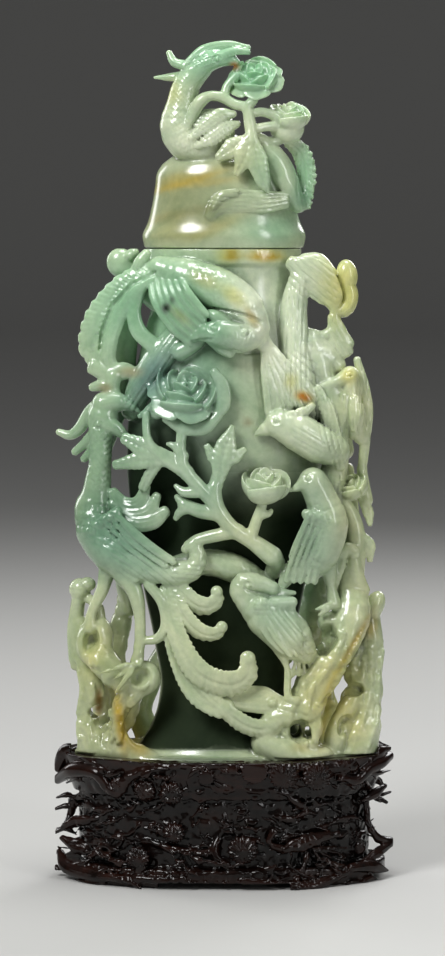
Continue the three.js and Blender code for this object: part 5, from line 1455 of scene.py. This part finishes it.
def wood_finish(name):
    mat = bpy.data.materials.new(name)
    nt, N, L, bsdf = nodes_of(mat)
    tc = N.new("ShaderNodeTexCoord")
    mp = N.new("ShaderNodeMapping")
    mp.inputs["Scale"].default_value = (40, 300, 300)
    L.new(tc.outputs["Object"], mp.inputs["Vector"])
    grain = N.new("ShaderNodeTexNoise")
    grain.inputs["Scale"].default_value = 1.0
    grain.inputs["Detail"].default_value = 4
    L.new(mp.outputs["Vector"], grain.inputs["Vector"])
    ramp = N.new("ShaderNodeValToRGB")
    ramp.color_ramp.elements[0].position = 0.35
    ramp.color_ramp.elements[0].color = (0.004, 0.0026, 0.002, 1)
    ramp.color_ramp.elements[1].position = 0.75
    ramp.color_ramp.elements[1].color = (0.016, 0.0072, 0.0048, 1)
    L.new(grain.outputs["Fac"], ramp.inputs["Fac"])
    dep = N.new("ShaderNodeVertexColor")
    dep.layer_name = "depth"
    # from the depth attribute: edges lighter and redder, partly worn wood and partly painted highlight; recesses darker
    # as painted shade
    edge_wear_and_painted_light = N.new("ShaderNodeValToRGB")
    edge_wear_and_painted_light.color_ramp.elements[0].position = 0.0
    edge_wear_and_painted_light.color_ramp.elements[0].color = (1.05, 0.78, 0.72, 1)
    edge_wear_and_painted_light.color_ramp.elements[1].position = 0.35
    edge_wear_and_painted_light.color_ramp.elements[1].color = (0.35, 0.35, 0.38, 1)
    L.new(dep.outputs["Color"], edge_wear_and_painted_light.inputs["Fac"])
    mul = N.new("ShaderNodeMix")
    mul.data_type = 'RGBA'
    mul.blend_type = 'MULTIPLY'
    mul.inputs[0].default_value = 1.0
    L.new(ramp.outputs["Color"], mul.inputs[6])
    L.new(edge_wear_and_painted_light.outputs["Color"], mul.inputs[7])
    L.new(mul.outputs[2], bsdf.inputs["Base Color"])
    bsdf.inputs["Roughness"].default_value = 0.19
    bsdf.inputs["IOR"].default_value = 1.45
    bsdf.inputs["Specular IOR Level"].default_value = 0.32
    return mat


import time
t0 = time.time()
fields = {"vase": make_vase(), "cover": make_cover(), "stand": make_stand()}
print("fields", round(time.time() - t0, 1))
vase_obs = skin("vase_carving", fields["vase"], TRIS, 3)
print("vase mesh", round(time.time() - t0, 1))
cover_obs = skin("cover_carving", fields["cover"], int(TRIS * 0.75))
stand_obs = skin("stand_carving", fields["stand"], TRIS)
print("meshes", round(time.time() - t0, 1))
for ob in vase_obs:
    paint(ob, fields["vase"], CELADON, ZONES_VASE)
for ob in cover_obs:
    paint(ob, fields["cover"], CELADON, ZONES_COVER)
for ob in stand_obs:
    paint(ob, fields["stand"], BROWN, [], False)
print("paint", round(time.time() - t0, 1))
fields.clear()
for obs, node, slot, mat in ((vase_obs, "vase", "vase_stone", stone_finish("pale_green_stone")),
                             (cover_obs, "cover", "cover_stone", stone_finish("pale_green_stone_cover")),
                             (stand_obs, "stand", "stand_wood", wood_finish("dark_hardwood"))):
    for ob in obs:
        ob.data.materials.clear()
        ob.data.materials.append(mat)
        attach(ob, "root")
        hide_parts(node)

# ---- floor, light, view ----
fm = bpy.data.materials.new("pale_floor")
nt, N, L, fb = nodes_of(fm)
fb.inputs["Base Color"].default_value = (0.50, 0.50, 0.485, 1)
fb.inputs["Roughness"].default_value = 0.55
# round floor that runs up into a low wall far away on every side
prof = [(6.0, 0.0)] + [(6.0 + 2.0 * math.sin(math.radians(a)), 2.0 - 2.0 * math.cos(math.radians(a))) for a in range(6, 91, 6)] + [(8.0, 3.2)]
AROUND = 64
verts = [(0, 0, 0)] + [(r * math.cos(2 * math.pi * k / AROUND), r * math.sin(2 * math.pi * k / AROUND), z) for r, z in prof for k in range(AROUND)]
quads = [(0, 1 + k, 1 + (k + 1) % AROUND) for k in range(AROUND)]
quads += [(1 + i * AROUND + k, 1 + (i + 1) * AROUND + k, 1 + (i + 1) * AROUND + (k + 1) % AROUND, 1 + i * AROUND + (k + 1) % AROUND)
          for i in range(len(prof) - 1) for k in range(AROUND)]
me = bpy.data.meshes.new("floor")
me.from_pydata(verts, [], quads)
me.update()
floor = bpy.data.objects.new("floor", me)
bpy.context.scene.collection.objects.link(floor)
me.materials.append(fm)
for q in me.polygons:
    q.use_smooth = True


def area(name, loc, aim, size, power, colour=(1, 1, 1)):
    li = bpy.data.lights.new(name, 'AREA')
    li.shape = 'ELLIPSE'
    li.size, li.size_y = size
    li.energy = power
    li.color = colour
    ob = bpy.data.objects.new(name, li)
    bpy.context.scene.collection.objects.link(ob)
    ob.location = loc
    import mathutils
    ob.rotation_euler = (mathutils.Vector(aim) - mathutils.Vector(loc)).to_track_quat('-Z', 'Y').to_euler()
    return ob


area("key", (-0.62, -0.80, 1.05), (0, 0, 0.19), (0.50, 0.60), 15)
area("fill", (0.80, -0.85, 0.50), (0, 0, 0.19), (0.16, 0.9), 3.4)
area("top", (0.10, 0.0, 1.15), (0, 0, 0.2), (0.5, 0.4), 6.5)
area("edge", (-0.8, 0.6, 0.5), (0, 0, 0.2), (0.3, 0.7), 3)
area("back", (0.55, 0.95, 0.75), (0, 0, 0.2), (0.6, 0.6), 6)
world = bpy.context.scene.world or bpy.data.worlds.new("studio")
bpy.context.scene.world = world
world.use_nodes = True
world.node_tree.nodes["Background"].inputs[0].default_value = (1, 1, 1, 1)
world.node_tree.nodes["Background"].inputs[1].default_value = 0.12

cam = bpy.data.cameras.new("view")
cam.sensor_width = 36
cam.lens = FOCAL * 36 / 956
cam.clip_end = 20
eye_ob = bpy.data.objects.new("view", cam)
bpy.context.scene.collection.objects.link(eye_ob)
eye_ob.location = ((222.5 - CX) * UNIT * 0.001, -VIEW_DIST * 0.001, EYE_Z * 0.001)
eye_ob.rotation_euler = (math.pi / 2 - PITCH, 0, 0)
bpy.context.scene.camera = eye_ob
bpy.context.scene.view_settings.view_transform = 'Standard'
